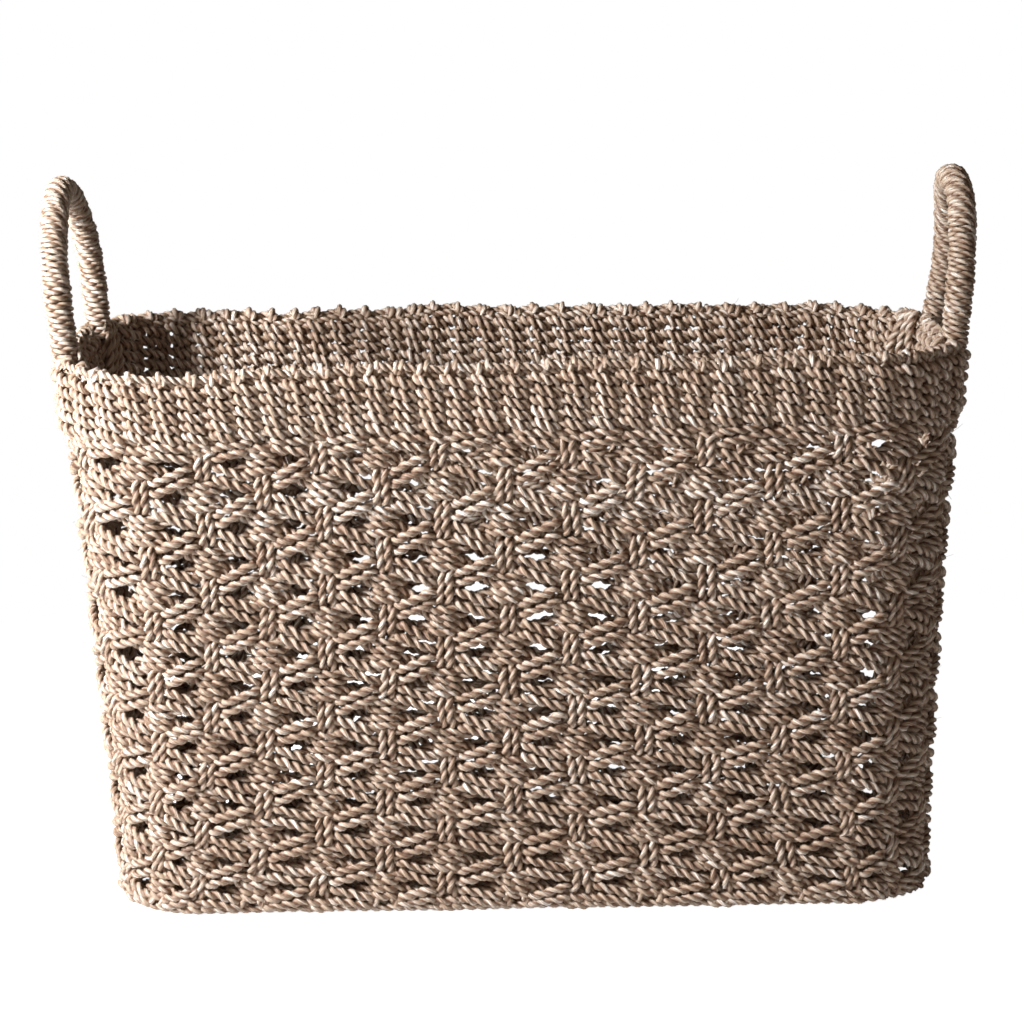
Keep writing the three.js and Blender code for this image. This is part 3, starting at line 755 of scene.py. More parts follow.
@dataclass
class Courses:
    """The body weave: bundles of four cords between each course and the next, crossing round the stakes."""

    shop: Workshop
    first_seed: int = 100
    count: int = 15
    first_height: float = 0.0142
    pitch: float = 0.0143
    pitch_growth: float = 0.0001
    cord_radius: float = 0.0025
    front_gaps: tuple[float, float] = (0.0018, 0.0056)
    rear_gaps: tuple[float, float] = (0.0012, 0.0068)
    band_gaps: tuple[float, float] = (0.0044, 0.0012)
    foot_pitch: float = 0.0105
    front_foot: tuple[float, float] = (0.0026, 0.0060)
    rear_foot: tuple[float, float] = (0.0038, 0.0073)
    front_depth: float = 0.0022
    front_dip: float = 0.0034
    front_turn: tuple[float, float] = (0.10, 0.30)
    rear_depth: float = 0.0020
    rear_rise: float = 0.0052
    rear_turn: tuple[float, float] = (0.09, 0.27)
    height_ripple: float = 0.00035
    depth_ripple: float = 0.0004
    samples: int = 20
    end_lap: float = 0.12
    seam_columns: tuple[int, int] = (11, 25)

    def height(self, course: float) -> float:
        """Height of a course over the floor."""
        return self.first_height + course * (self.pitch + course * self.pitch_growth)

    def course_at(self, height: np.ndarray) -> np.ndarray:
        """The course at a height, with shares of a course between two of them."""
        rise = np.asarray(height, float) - self.first_height
        above = np.sqrt(self.pitch**2 + 4 * self.pitch_growth * np.maximum(rise, 0.0)) - self.pitch
        return above / (2 * self.pitch_growth) + np.minimum(rise, 0.0) / self.foot_pitch

    def levels(self, row: int, front: bool) -> list[tuple[float, float]]:
        """Lowest and highest place of each cord of a pair, in the row over a course.

        Args:
            row: the course under the row, or -1 for the row under the first course.
            front: whether the pair passes before the stakes.

        Returns:
            One pair of heights for the lower cord and one for the upper cord.
        """
        inner, outer = self.front_gaps if front else self.rear_gaps
        low = (self.height(row) + inner, self.height(row) + outer)
        high = (self.height(row + 1) - outer, self.height(row + 1) - inner)
        if row < 0:
            low = self.front_foot if front else self.rear_foot
        if row == self.count - 1:
            high = (self.shop.wall.band_bottom - self.band_gaps[0], self.shop.wall.band_bottom - self.band_gaps[1])
        return [(low[0], high[0]), (low[1], high[1])]

    def row_strands(self, row: int, spool: Spool) -> list[Strand]:
        """The four cords of a row: two before every stake, two behind, crossing between the stakes.

        Args:
            row: the course under the row.
            spool: where the cords come from.

        Returns:
            The strands.
        """
        wall = self.shop.wall
        strands = []
        for front in (True, False):
            start = float(spool.draw.integers(*self.seam_columns)) + (0.5 if front else 0.0)
            count = int(self.samples * (wall.columns + 2 * self.end_lap)) + 1
            column = np.linspace(start - self.end_lap, start + wall.columns + self.end_lap, count)
            swing = np.cos(math.pi * (column + row + (0 if front else 1)))
            away = np.abs(column - np.round(column))
            if front:
                swing = broad_crests(swing)
                depth = self.front_depth - self.front_dip * smooth_step(*self.front_turn, away)
            else:
                depth = -self.rear_depth + self.rear_rise * smooth_step(*self.rear_turn, away)
            for low, high in self.levels(row, front):
                height = (low + high) / 2 - (high - low) / 2 * swing
                height = height + spool.ripple(count, 2 * wall.columns, self.height_ripple)
                out = depth + spool.ripple(count, 2 * wall.columns, self.depth_ripple)
                strands.append(spool.cut(wall.place(column, height, out), self.cord_radius))
        return strands

    def build(self) -> None:
        """Lays each row as a piece, with the row under the first course in the first piece."""
        for course in range(self.count):
            spool = Spool(seed=self.first_seed + course)
            rows = [-1, 0] if course == 0 else [course]
            strands = [strand for row in rows for strand in self.row_strands(row, spool)]
            name = f"course_{course + 1}"
            self.shop.finish_piece(f"{name}_cords", strands, "body_cord", (name,))


@dataclass(frozen=True)
class Ribs:
    """The upright cords of the rim band: the parted cords of the stakes, with a few added ones between them."""

    columns: int
    count: int = 82

    def column(self, rib: float) -> float:
        """Place of a rib round the wall, in columns."""
        return (rib + 0.5) * self.columns / self.count

    def nearest(self, column: float) -> int:
        """Number of the rib that lies nearest to a place."""
        return round(column * self.count / self.columns - 0.5)

    def added(self, taken: set[int]) -> list[int]:
        """Numbers of the ribs that no stake cord runs into."""
        return [rib for rib in range(self.count) if rib not in taken]


@dataclass
class Stakes:
    """Pairs of cords that run down one wall, across the base and up the other wall."""

    shop: Workshop
    courses: Courses
    ribs: Ribs
    cross_seed: int = 300
    end_seed: int = 340
    cord_radius: float = 0.0024
    half_pair: float = 0.0021
    sway: float = 0.0027
    sway_turn: tuple[float, float] = (0.26, 0.74)
    sway_end: float = 0.002
    top: float = 0.2722
    spread_start: float = 0.2350
    spread_end: float = 0.2480
    rib_share: float = 0.25
    foot_top: float = 0.0130
    foot_half_pair: float = 0.0042
    foot_height: float = 0.0068
    base_middle: float = 0.0044
    base_sway: float = 0.00205
    bend_radius: float = 0.0080
    pair_height: float = 0.15
    wander: float = 0.00045
    wander_waves: int = 16
    wall_step: float = 0.0016
    bend_steps: int = 7

    def depth(self, column: int, height: np.ndarray) -> np.ndarray:
        """How far the stake stands out of the wall's middle as it passes before and behind the courses.

        Args:
            column: the stake's column.
            height: heights over the floor.

        Returns:
            One depth per height.
        """
        level = np.clip(self.courses.course_at(height), -1.0, self.courses.count - 1.0)
        below = np.minimum(np.floor(level), self.courses.count - 2)
        sign = np.where(np.mod(column + below, 2) == 1, 1.0, -1.0)
        depth = self.sway * sign * (1 - 2 * smooth_step(*self.sway_turn, level - below))
        top_course = self.courses.height(self.courses.count - 1)
        return depth * (1 - smooth_step(top_course + self.sway_end, self.shop.wall.band_bottom, height))

    def wall_path(self, column: int, side: int, spool: Spool) -> np.ndarray:
        """One cord of a stake, from its top in the band down to the start of the bend.

        Args:
            column: the stake's column.
            side: -1 or 1, for the cord before or after the stake's middle.
            spool: where the cord comes from.

        Returns:
            Points from the top down.
        """
        wall = self.shop.wall
        height = np.linspace(self.top, self.foot_height, int((self.top - self.foot_height) / self.wall_step))
        pitch = wall.pitch(self.pair_height)
        parted = smooth_step(self.spread_start, self.spread_end, height)
        splayed = 1 - smooth_step(self.foot_height, self.foot_top, height)
        half_pair = self.half_pair + (self.foot_half_pair - self.half_pair) * splayed
        rib = self.ribs.column(self.ribs.nearest(column + side * self.rib_share))
        aside = side * half_pair * (1 - parted) / pitch + (rib - column) * parted
        wander = spool.ripple(len(height), self.wander_waves, self.wander) * (1 - parted) / pitch
        return wall.place(column + aside + wander, height, self.depth(column, height))

    def bend_path(self, start: np.ndarray, floor_point: np.ndarray) -> np.ndarray:
        """The quarter turn from the wall into the base.

        Args:
            start: where the wall path ends.
            floor_point: where the cord lies flat in the base.

        Returns:
            Points after start, as far as floor_point.
        """
        turn = np.linspace(0.0, math.pi / 2, self.bend_steps)[1:, None]
        drop = np.array([0.0, 0.0, floor_point[2] - start[2]])
        flat = floor_point - start - drop
        return start + drop * np.sin(turn) + flat * (1 - np.cos(turn))

    def base_heights(self, place: np.ndarray, crossings: list[tuple[float, bool]]) -> np.ndarray:
        """Heights of a strand in the base as it passes over and under what it crosses.

        Args:
            place: places along the strand.
            crossings: each crossing's place, and whether the strand is under there.

        Returns:
            One height per place.
        """
        order = sorted(crossings)
        where = np.array([spot for spot, _ in order])
        sign = np.array([-1.0 if under else 1.0 for _, under in order])
        after = np.clip(np.searchsorted(where, place), 1, len(where) - 1)
        share = smooth_step(0.0, 1.0, (place - where[after - 1]) / (where[after] - where[after - 1]))
        blend = sign[after - 1] * (1 - share) + sign[after] * share
        return self.base_middle + self.base_sway * blend

    def strand(
        self, first: int, last: int, side: int, axis: int, crossings: list[tuple[float, bool]], spool: Spool
    ) -> Strand:
        """One cord of a stake, from rim to rim.

        Args:
            first: column of the wall where it starts.
            last: column of the opposite wall.
            side: -1 or 1, for the two cords of the pair.
            axis: 0 where the stake runs lengthwise in the base, 1 where it runs across.
            crossings: what it crosses in the base.
            spool: where the cord comes from.

        Returns:
            The strand.
        """
        down = self.wall_path(first, side, spool)
        up = self.wall_path(last, -side, spool)[::-1]
        heading = np.sign(up[0][axis] - down[-1][axis])
        inward = np.zeros(3)
        inward[axis] = heading
        floor_first = down[-1] + inward * self.bend_radius
        floor_last = up[0] - inward * self.bend_radius
        count = int(abs(floor_last[axis] - floor_first[axis]) / self.wall_step)
        flat = floor_first + (floor_last - floor_first) * np.linspace(0.0, 1.0, count)[:, None]
        flat[:, 2] = self.base_heights(flat[:, axis], crossings)
        into = self.bend_path(down[-1], flat[0])
        out = self.bend_path(up[0], flat[-1])[::-1]
        return spool.cut(np.concatenate([down, into[:-1], flat, out[1:], up]), self.cord_radius)

    def taken_ribs(self) -> set[int]:
        """Numbers of the ribs that the stakes' cords run into."""
        sides = (-self.rib_share, self.rib_share)
        columns = range(self.shop.wall.columns)
        return {self.ribs.nearest(column + side) % self.ribs.count for column in columns for side in sides}

    def cross_columns(self) -> list[int]:
        """Columns of the stakes that run across the base."""
        half = (self.shop.wall.front_columns - 1) // 2
        return list(range(-half, half + 1))

    def end_ranks(self) -> list[int]:
        """Places of the lengthwise stakes, counted from the middle of an end."""
        half = (self.shop.wall.end_columns - 1) // 2
        return list(range(-half, half + 1))

    def cross_place(self, column: int) -> float:
        """Where a cross stake lies along the base."""
        return float(self.shop.wall.place(column, 0.0, 0.0)[0])

    def end_place(self, rank: float) -> float:
        """Where a lengthwise strand lies across the base."""
        low = self.shop.wall.place(self.shop.wall.quarter_columns + math.floor(rank), 0.0, 0.0)[1]
        high = self.shop.wall.place(self.shop.wall.quarter_columns + math.ceil(rank), 0.0, 0.0)[1]
        return float((low + high) / 2)

    def under(self, column: int, order: int) -> bool:
        """Whether a cross stake passes under a lengthwise strand of this order."""
        return (column + order) % 2 == 0

    def lengthwise_crossings(self, order: int) -> list[tuple[float, bool]]:
        """What a lengthwise strand crosses in the base."""
        return [(self.cross_place(column), not self.under(column, order)) for column in self.cross_columns()]

    def build(self) -> None:
        """Lays each stake as a piece."""
        ranks = self.end_ranks()
        orders = range(2 * ranks[0], 2 * ranks[-1] + 1)
        half_ring = self.shop.wall.columns // 2
        for number, column in enumerate(self.cross_columns(), start=1):
            spool = Spool(seed=self.cross_seed + number)
            crossings = [(self.end_place(order / 2), self.under(column, order)) for order in orders]
            strands = [self.strand(column, half_ring - column, side, 1, crossings, spool) for side in (-1, 1)]
            self.shop.finish_piece(f"cross_stake_{number}_cords", strands, "stake_cord", (f"cross_stake_{number}",))
        quarter = self.shop.wall.columns // 4
        for number, rank in enumerate(ranks, start=1):
            spool = Spool(seed=self.end_seed + number)
            crossings = self.lengthwise_crossings(2 * rank)
            first, last = 3 * quarter - rank, quarter + rank
            strands = [self.strand(first, last, side, 0, crossings, spool) for side in (-1, 1)]
            self.shop.finish_piece(f"end_stake_{number}_cords", strands, "stake_cord", (f"end_stake_{number}",))


@dataclass
class BaseWefts:
    """Cords that run lengthwise beside the lengthwise stakes and close the base."""

    shop: Workshop
    stakes: Stakes
    first_seed: int = 360
    cords_each: int = 4
    outer_cords: int = 3
    cord_spacing: float = 0.0043
    outer_gap: float = 0.0075
    overhang: float = 0.011
    corner_gap: float = 0.007
    step: float = 0.0018
    wander: float = 0.0004
    wander_waves: int = 20

    def places(self, rank: int) -> list[float]:
        """Places across the base of the cords between a lengthwise stake and the next, with those beside the wall."""
        ranks = self.stakes.end_ranks()
        middle = self.stakes.end_place(rank + 0.5)
        places = [middle + (cord - (self.cords_each - 1) / 2) * self.cord_spacing for cord in range(self.cords_each)]
        for edge, sign in ((ranks[0], -1), (ranks[-1], 1)):
            if edge in (rank, rank + 1):
                start = self.stakes.end_place(edge) + sign * self.outer_gap
                places += [start + sign * cord * self.cord_spacing for cord in range(self.outer_cords)]
        return places

    def build(self) -> None:
        """Lays each group of cords as a piece."""
        reach_right = self.stakes.cross_place(self.stakes.cross_columns()[-1]) + self.overhang
        reach_left = self.stakes.cross_place(self.stakes.cross_columns()[0]) - self.overhang
        for number, rank in enumerate(self.stakes.end_ranks()[:-1], start=1):
            spool = Spool(seed=self.first_seed + number)
            crossings = self.stakes.lengthwise_crossings(2 * rank + 1)
            strands = []
            for place in self.places(rank):
                limit = self.shop.wall.base_reach(place) - self.corner_gap
                left, right = max(reach_left, -limit), min(reach_right, limit)
                x = np.linspace(left, right, int((right - left) / self.step))
                height = self.stakes.base_heights(x, crossings)
                y = place + spool.ripple(len(x), self.wander_waves, self.wander)
                strands.append(spool.cut(np.stack([x, y, height], axis=1), self.stakes.cord_radius))
            self.shop.finish_piece(f"base_weft_{number}_cords", strands, "stake_cord", (f"base_weft_{number}",))


@dataclass
class FootCord:
    """One cord round the foot of the wall."""

    shop: Workshop
    seed: int = 390
    cord_radius: float = 0.0022
    height: float = 0.0024
    height_ripple: float = 0.0006
    depth: float = 0.0014
    seam_columns: tuple[float, float] = (17.9, 18.1)
    samples: int = 20

    def build(self) -> None:
        """Lays the cord as one piece."""
        wall = self.shop.wall
        spool = Spool(seed=self.seed)
        first, last = self.seam_columns
        column = np.linspace(first, last + wall.columns, self.samples * wall.columns)
        height = self.height + np.abs(spool.ripple(len(column), wall.columns, self.height_ripple))
        strand = spool.cut(wall.place(column, height, self.depth), self.cord_radius)
        self.shop.finish_piece("bottom_cord_cords", [strand], "body_cord", ("bottom_cord",))


@dataclass
class RimBand:
    """Tight twined rows round the top: two cords that swap sides after each rib."""

    shop: Workshop
    ribs: Ribs
    first_seed: int = 400
    rows: int = 5
    first_height: float = 0.2466
    pitch: float = 0.0058
    cord_radius: float = 0.0025
    lay_length: float = 0.0092
    ply_radius: float = 0.64
    sway: float = 0.0040
    roll: float = 0.0017
    ripple: float = 0.0003
    samples: int = 12
    seam_ribs: tuple[int, int] = (32, 50)
    end_lap: float = 0.2
    leg_bulge: float = 0.0028
    leg_spread: float = 0.30

    def leg_swelling(self, column: np.ndarray) -> np.ndarray:
        """How strongly each place is pushed aside by a handle leg, from 0 to 1."""
        wall = self.shop.wall
        middles = (wall.quarter_columns, 3 * wall.quarter_columns)
        legs = [middle + side * wall.leg_offset for middle in middles for side in (-1, 1)]
        return np.maximum.reduce([wall.hump(column, leg, self.leg_spread) for leg in legs])

    def row_strands(self, row: int, spool: Spool) -> list[Strand]:
        """The two cords of a twined row.

        Args:
            row: the row, counted upwards.
            spool: where the cords come from.

        Returns:
            The strands.
        """
        wall = self.shop.wall
        ribs = self.ribs.count
        start = float(spool.draw.integers(*self.seam_ribs))
        strands = []
        for sign in (1, -1):
            rib = np.linspace(start - self.end_lap, start + ribs + self.end_lap, self.samples * ribs)
            column = self.ribs.column(rib)
            depth = sign * self.sway * broad_crests(np.cos(math.pi * rib)) + self.leg_bulge * self.leg_swelling(column)
            height = self.first_height + row * self.pitch - sign * self.roll * np.sin(math.pi * rib)
            height = height + spool.ripple(len(rib), ribs, self.ripple)
            depth = depth + spool.ripple(len(rib), ribs, self.ripple)
            strands.append(spool.cut(wall.place(column, height, depth), self.cord_radius))
        return strands

    def build(self) -> None:
        """Lays each row as a piece."""
        for row in range(self.rows):
            name = f"band_row_{row + 1}"
            strands = self.row_strands(row, Spool(seed=self.first_seed + row))
            sizes = {"lay_length": self.lay_length, "ply_radius": self.ply_radius}
            self.shop.finish_piece(f"{name}_cords", strands, "band_cord", (name,), **sizes)


@dataclass
class RimBorder:
    """The top edge: each rib's cords fold over the rim, then run along it and down behind the next rib's."""

    shop: Workshop
    band: RimBand
    seed: int = 450
    height: float = 0.2762
    cord_radius: float = 0.0021
    tone: float = 0.6
    samples: int = 16
    lay_length: float = 0.0080
    ply_offset: float = 0.36
    ply_radius: float = 0.64
    core_drop: float = 0.0026
    core_ripple: float = 0.0004
    core_seam: tuple[float, float] = (12.9, 13.1)
    core_samples: int = 20
    run_start: float = 0.05
    run_length: float = 1.9
    run_rise: float = 0.0010
    run_drop: float = 0.0044
    run_jitter: float = 0.0004
    run_depth: float = 0.0020
    run_sweep: float = 1.1
    fold_radius: float = 0.0028
    fold_reach: float = 0.0018
    fold_spacing: float = 0.0040
    fold_advance: float = 0.0034
    fold_start: float = -2.1
    fold_end: float = 2.3
    fold_jitter: float = 0.0006
    advance_spread: tuple[float, float] = (-0.5, 0.6)
    reach_spread: tuple[float, float] = (-0.10, 0.16)
    second_share: float = 0.4
    second_drop: float = 0.0011
    leg_bulge: float = 0.0020
    added_depth: float = 0.0004
    added_start: float = 0.001
    added_samples: int = 18

    def core_strand(self, spool: Spool) -> Strand:
        """The cord round the very top, which the ribs' cords fold over."""
        wall = self.shop.wall
        first, last = self.core_seam
        column = np.linspace(first, last + wall.columns, self.core_samples * wall.columns)
        height = self.height - self.core_drop + spool.ripple(len(column), wall.columns, self.core_ripple)
        depth = self.leg_bulge * self.band.leg_swelling(column)
        return spool.cut(wall.place(column, height, depth), self.cord_radius)

    def run_strand(self, rib: int, spool: Spool) -> Strand:
        """The part of a rib's cord that runs along the rim.

        Args:
            rib: number of the rib.
            spool: where the cord comes from.

        Returns:
            The strand.
        """
        share = np.linspace(0.0, 1.0, self.samples)
        column = self.band.ribs.column(rib + self.run_start + self.run_length * share)
        height = self.height + self.run_rise - self.run_drop * share
        height = height + spool.draw.uniform(-self.run_jitter, self.run_jitter)
        depth = self.leg_bulge * self.band.leg_swelling(column)
        depth = depth + self.run_depth * np.cos(math.pi * share * self.run_sweep)
        return spool.cut(self.shop.wall.place(column, height, depth), self.cord_radius, self.tone)

    def fold_strands(self, rib: int, spool: Spool) -> list[Strand]:
        """A rib's cord, folded from the inside over the rim and down the outside, often with a second one beside it.

        Args:
            rib: number of the rib.
            spool: where the cords come from.

        Returns:
            The strands.
        """
        wall = self.shop.wall
        turn = np.linspace(self.fold_start, self.fold_end, self.samples)
        lean = self.fold_advance * (1 + spool.draw.uniform(*self.advance_spread))
        strands = []
        for order in range(2 if spool.draw.uniform() < self.second_share else 1):
            reach = self.fold_reach * (1 + spool.draw.uniform(*self.reach_spread))
            along = lean * turn / (self.fold_end - self.fold_start) - order * self.fold_spacing
            along = along + spool.draw.uniform(-self.fold_jitter, self.fold_jitter)
            column = self.band.ribs.column(rib) + along / wall.pitch(self.height)
            bulge = self.leg_bulge * self.band.leg_swelling(column)
            height = self.height - order * self.second_drop + reach * np.cos(turn)
            points = wall.place(column, height, bulge + reach * np.sin(turn))
            strands.append(spool.cut(points, self.fold_radius, self.tone))
        return strands

    def added_rib(self, rib: int, spool: Spool) -> Strand:
        """An added upright cord in the band, between two stake cords."""
        height = np.linspace(self.band.first_height - self.added_start, self.height, self.added_samples)
        points = self.shop.wall.place(self.band.ribs.column(rib), height, self.added_depth)
        return spool.cut(points, self.cord_radius)

    def build(self, taken: set[int]) -> None:
        """Lays the border as one piece.

        Args:
            taken: numbers of the ribs that stake cords run into.
        """
        spool = Spool(seed=self.seed)
        strands = [self.core_strand(spool), *(self.added_rib(rib, spool) for rib in self.band.ribs.added(taken))]
        for rib in range(self.band.ribs.count):
            strands.append(self.run_strand(rib, spool))
            strands += self.fold_strands(rib, spool)
        sizes = {"lay_length": self.lay_length, "ply_offset": self.ply_offset, "ply_radius": self.ply_radius}
        self.shop.finish_piece("rim_border_cords", strands, "band_cord", ("rim_border",), **sizes)


@dataclass
class Handle:
    """An upright arch on an end wall: a stiff core wound closely with one cord."""

    shop: Workshop
    end: End
    middle_seed: int = 500
    thickness_spread: float = 0.03
    near_shift: float = 0.0
    far_shift: float = 0.0
    foot_settling: float = 0.75
    waist_settling: float = 0.3
    rise: float = 0.0738
    straight: float = 0.022
    lean: float = 0.006
    inset: float = 0.0030
    arch_points: int = 60
    leg_points: int = 8
    buried_points: int = 12
    path_step: float = 0.0012
    core_radius: float = 0.0040
    core_lay: float = 0.022
    cord_radius: float = 0.0020
    cord_tone: float = 0.66
    turn_spacing: float = 0.0031
    turns_per_wave: float = 3.0
    spacing_ripple: float = 0.0006
    winding_radius: float = 0.0053
    radius_ripple: float = 0.0003
    winding_depth: float = 0.006
    points_per_turn: int = 14
    heading_step: float = 0.001
    ring_spacing: float = 0.0014
    ply_offset: float = 0.34
    ply_radius: float = 0.66
    lashing_places: tuple[tuple[float, float], ...] = ((-0.10, -0.30), (0.06, 0.30), (0.24, 0.72))
    lashing_radius: float = 0.0023
    lashing_tone: float = 0.6
    lashing_spread: float = 1.0
    lashing_start: float = 0.002
    lashing_gap: float = 0.003
    lashing_depth: float = 0.0048
    lashing_bow: float = 0.0030
    bow_sweep: float = 1.1
    bow_fullness: float = 0.6
    lashing_points: int = 18

    def leg_column(self, sign: int) -> float:
        """Column of the leg at the front (-1) or the back (1)."""
        wall = self.shop.wall
        middle = wall.quarter_columns if self.end is End.RIGHT else 3 * wall.quarter_columns
        return middle + self.end.value * sign * wall.leg_offset

    def path(self) -> np.ndarray:
        """The core's middle line, from the foot of the front leg over the arch to the foot of the back leg."""
        wall = self.shop.wall
        foot = wall.surface(self.leg_column(-1), wall.rim_height)[0]
        half_gap = abs(float(foot[1]))
        turn = np.linspace(0.0, math.pi, self.arch_points)
        rise = np.concatenate(
            [
                np.linspace(0.0, self.straight, self.leg_points)[:-1],
                self.straight + (self.rise - self.straight) * np.sin(turn),
                np.linspace(self.straight, 0.0, self.leg_points)[1:],
            ]
        )
        leg = np.ones(self.leg_points - 1)
        across = np.concatenate([leg, np.cos(turn), -leg]) * half_gap
        far_share = smooth_step(half_gap, -half_gap, across)
        shift = self.near_shift * (1 - far_share) + self.far_shift * far_share
        level = rise / self.rise
        settled = self.foot_settling * (1 - level**3)
        settled = settled + self.waist_settling * np.sin(np.clip(level, 0.0, 1.0) * math.pi)
        x = self.end.value * (abs(float(foot[0])) + self.lean * level) + shift * settled
        arch = np.stack([x, -across, wall.rim_height + rise], axis=1)
        down = np.linspace(wall.band_bottom, wall.rim_height, self.buried_points)[:-1]
        buried = (down - wall.band_bottom) / (wall.rim_height - wall.band_bottom)
        inward = -self.end.value * self.inset * np.sin(math.pi / 2 * (1 - buried))
        legs = []
        for sign, moved in ((-1, self.near_shift), (1, self.far_shift)):
            leg = wall.surface(self.leg_column(sign), down)[0]
            leg[:, 0] += self.foot_settling * moved * buried + inward
            legs.append(leg)
        points = np.concatenate([legs[0], arch, legs[1][::-1]])
        run = run_lengths(points)
        return points_along(points, run, np.linspace(0.0, run[-1], int(run[-1] / self.path_step) + 1))

    def winding(self, path: np.ndarray, spool: Spool) -> Strand:
        """The cord wound round the core.

        Args:
            path: the core's middle line.
            spool: where the cord comes from.

        Returns:
            The strand.
        """
        run = run_lengths(path)
        covered = np.nonzero(path[:, 2] > self.shop.wall.rim_height - self.winding_depth)[0]
        start, stop = run[covered[0]], run[covered[-1]]
        turns = (stop - start) / self.turn_spacing
        count = int(turns * self.points_per_turn)
        where = np.linspace(start, stop, count) + spool.ripple(count, turns / self.turns_per_wave, self.spacing_ripple)
        ahead = points_along(path, run, where + self.heading_step)
        along = ahead - points_along(path, run, where - self.heading_step)
        along /= np.linalg.norm(along, axis=1)[:, None]
        out = np.tile([float(self.end.value), 0.0, 0.0], (count, 1))
        out -= along * np.sum(out * along, axis=1)[:, None]
        out /= np.linalg.norm(out, axis=1)[:, None]
        angle = np.linspace(0.0, 2 * math.pi * turns, count)[:, None]
        around = out * np.cos(angle) + np.cross(along, out) * np.sin(angle)
        radius = self.winding_radius + spool.ripple(count, turns, self.radius_ripple)
        points = points_along(path, run, where) + around * radius[:, None]
        return spool.cut(points, self.cord_radius, self.cord_tone)

    def lashings(self, spool: Spool) -> list[Strand]:
        """Cords that run aslant from each leg down over the inside of the band and hold it there."""
        wall = self.shop.wall
        strands = []
        share = np.linspace(0.0, 1.0, self.lashing_points)
        length = wall.rim_height - wall.band_bottom - self.lashing_gap
        height = wall.rim_height + self.lashing_start - length * share
        bow = np.sin(math.pi * np.clip(share * self.bow_sweep, 0.0, 1.0)) ** self.bow_fullness
        depth = -self.lashing_depth - self.lashing_bow * bow
        for sign in (-1, 1):
            away = sign * self.end.value * self.lashing_spread
            for top, foot in self.lashing_places:
                column = self.leg_column(sign) + away * (top + (foot - top) * share)
                strands.append(spool.cut(wall.place(column, height, depth), self.lashing_radius, self.lashing_tone))
        return strands

    def build(self) -> None:
        """Makes the core and the winding as two pieces."""
        side = self.end.name.lower()
        spool = Spool(seed=self.middle_seed + self.end.value, thickness_spread=self.thickness_spread)
        path = self.path()
        core, wound = f"handle_core_{side}", f"handle_winding_{side}"
        rope = [spool.cut(path, self.core_radius)]
        self.shop.finish_piece(f"{core}_rope", rope, "handle_cord", (core,), lay_length=self.core_lay)
        strands = [self.winding(path, spool), *self.lashings(spool)]
        sizes = {"ring_spacing": self.ring_spacing, "ply_offset": self.ply_offset, "ply_radius": self.ply_radius}
        self.shop.finish_piece(f"{wound}_cord", strands, "handle_cord", (wound,), **sizes)


@dataclass
class StrayFibres:
    """Loose fibres that stand off the cords."""

    shop: Workshop
    seed: int = 600
    count: int = 420
    radius: float = 0.00009
    thickness_spread: float = 0.3
    tone: float = 0.9
    shortest: float = 0.003
    longest: float = 0.009
    lowest: float = 0.008
    root_depth: float = 0.002
    outward_pull: float = 1.1
    curl: float = 0.35
    points_each: int = 7
    ring_spacing: float = 0.003
    profile_points: int = 4

    def build(self) -> None:
        """Scatters the fibres over the wall, with a fixed seed."""
        wall = self.shop.wall
        spool = Spool(seed=self.seed, thickness_spread=self.thickness_spread, lump=0.0)
        draw = spool.draw
        share = np.linspace(0.0, 1.0, self.points_each)[:, None]
        strands = []
        for _ in range(self.count):
            column = draw.uniform(0, wall.columns)
            height = draw.uniform(self.lowest, wall.rim_height)
            root = wall.place(column, height, self.root_depth)
            length = draw.uniform(self.shortest, self.longest)
            heading = draw.normal(0.0, 1.0, 3) + wall.surface(column, height)[1] * self.outward_pull
            heading /= np.linalg.norm(heading)
            curl = draw.normal(0.0, self.curl, 3)
            points = root + heading * length * share + curl * length * share**2
            strands.append(spool.cut(points, self.radius, self.tone))
        sizes = {"ring_spacing": self.ring_spacing, "profile_points": self.profile_points}
        self.shop.finish_piece("stray_fibres", strands, "body_cord", (), **sizes)


@dataclass(frozen=True)
class Lamp:
    """A square soft light that faces the middle of the basket."""

    name: str
    place: tuple[float, float, float]
    side: float
    power: float
    colour: tuple[float, float, float]
    aim: tuple[float, float, float] = (0.0, 0.0, 0.14)

    def add(self) -> None:
        """Adds the light to the scene."""
        data = bpy.data.lights.new(self.name, "AREA")
        data.size = self.side
        data.energy = self.power
        data.color = self.colour
        lamp = bpy.data.objects.new(self.name, data)
        turn = (Vector(self.aim) - Vector(self.place)).to_track_quat("-Z", "Y").to_matrix().to_4x4()
        lamp.matrix_world = Matrix.Translation(Vector(self.place)) @ turn
        bpy.context.scene.collection.objects.link(lamp)


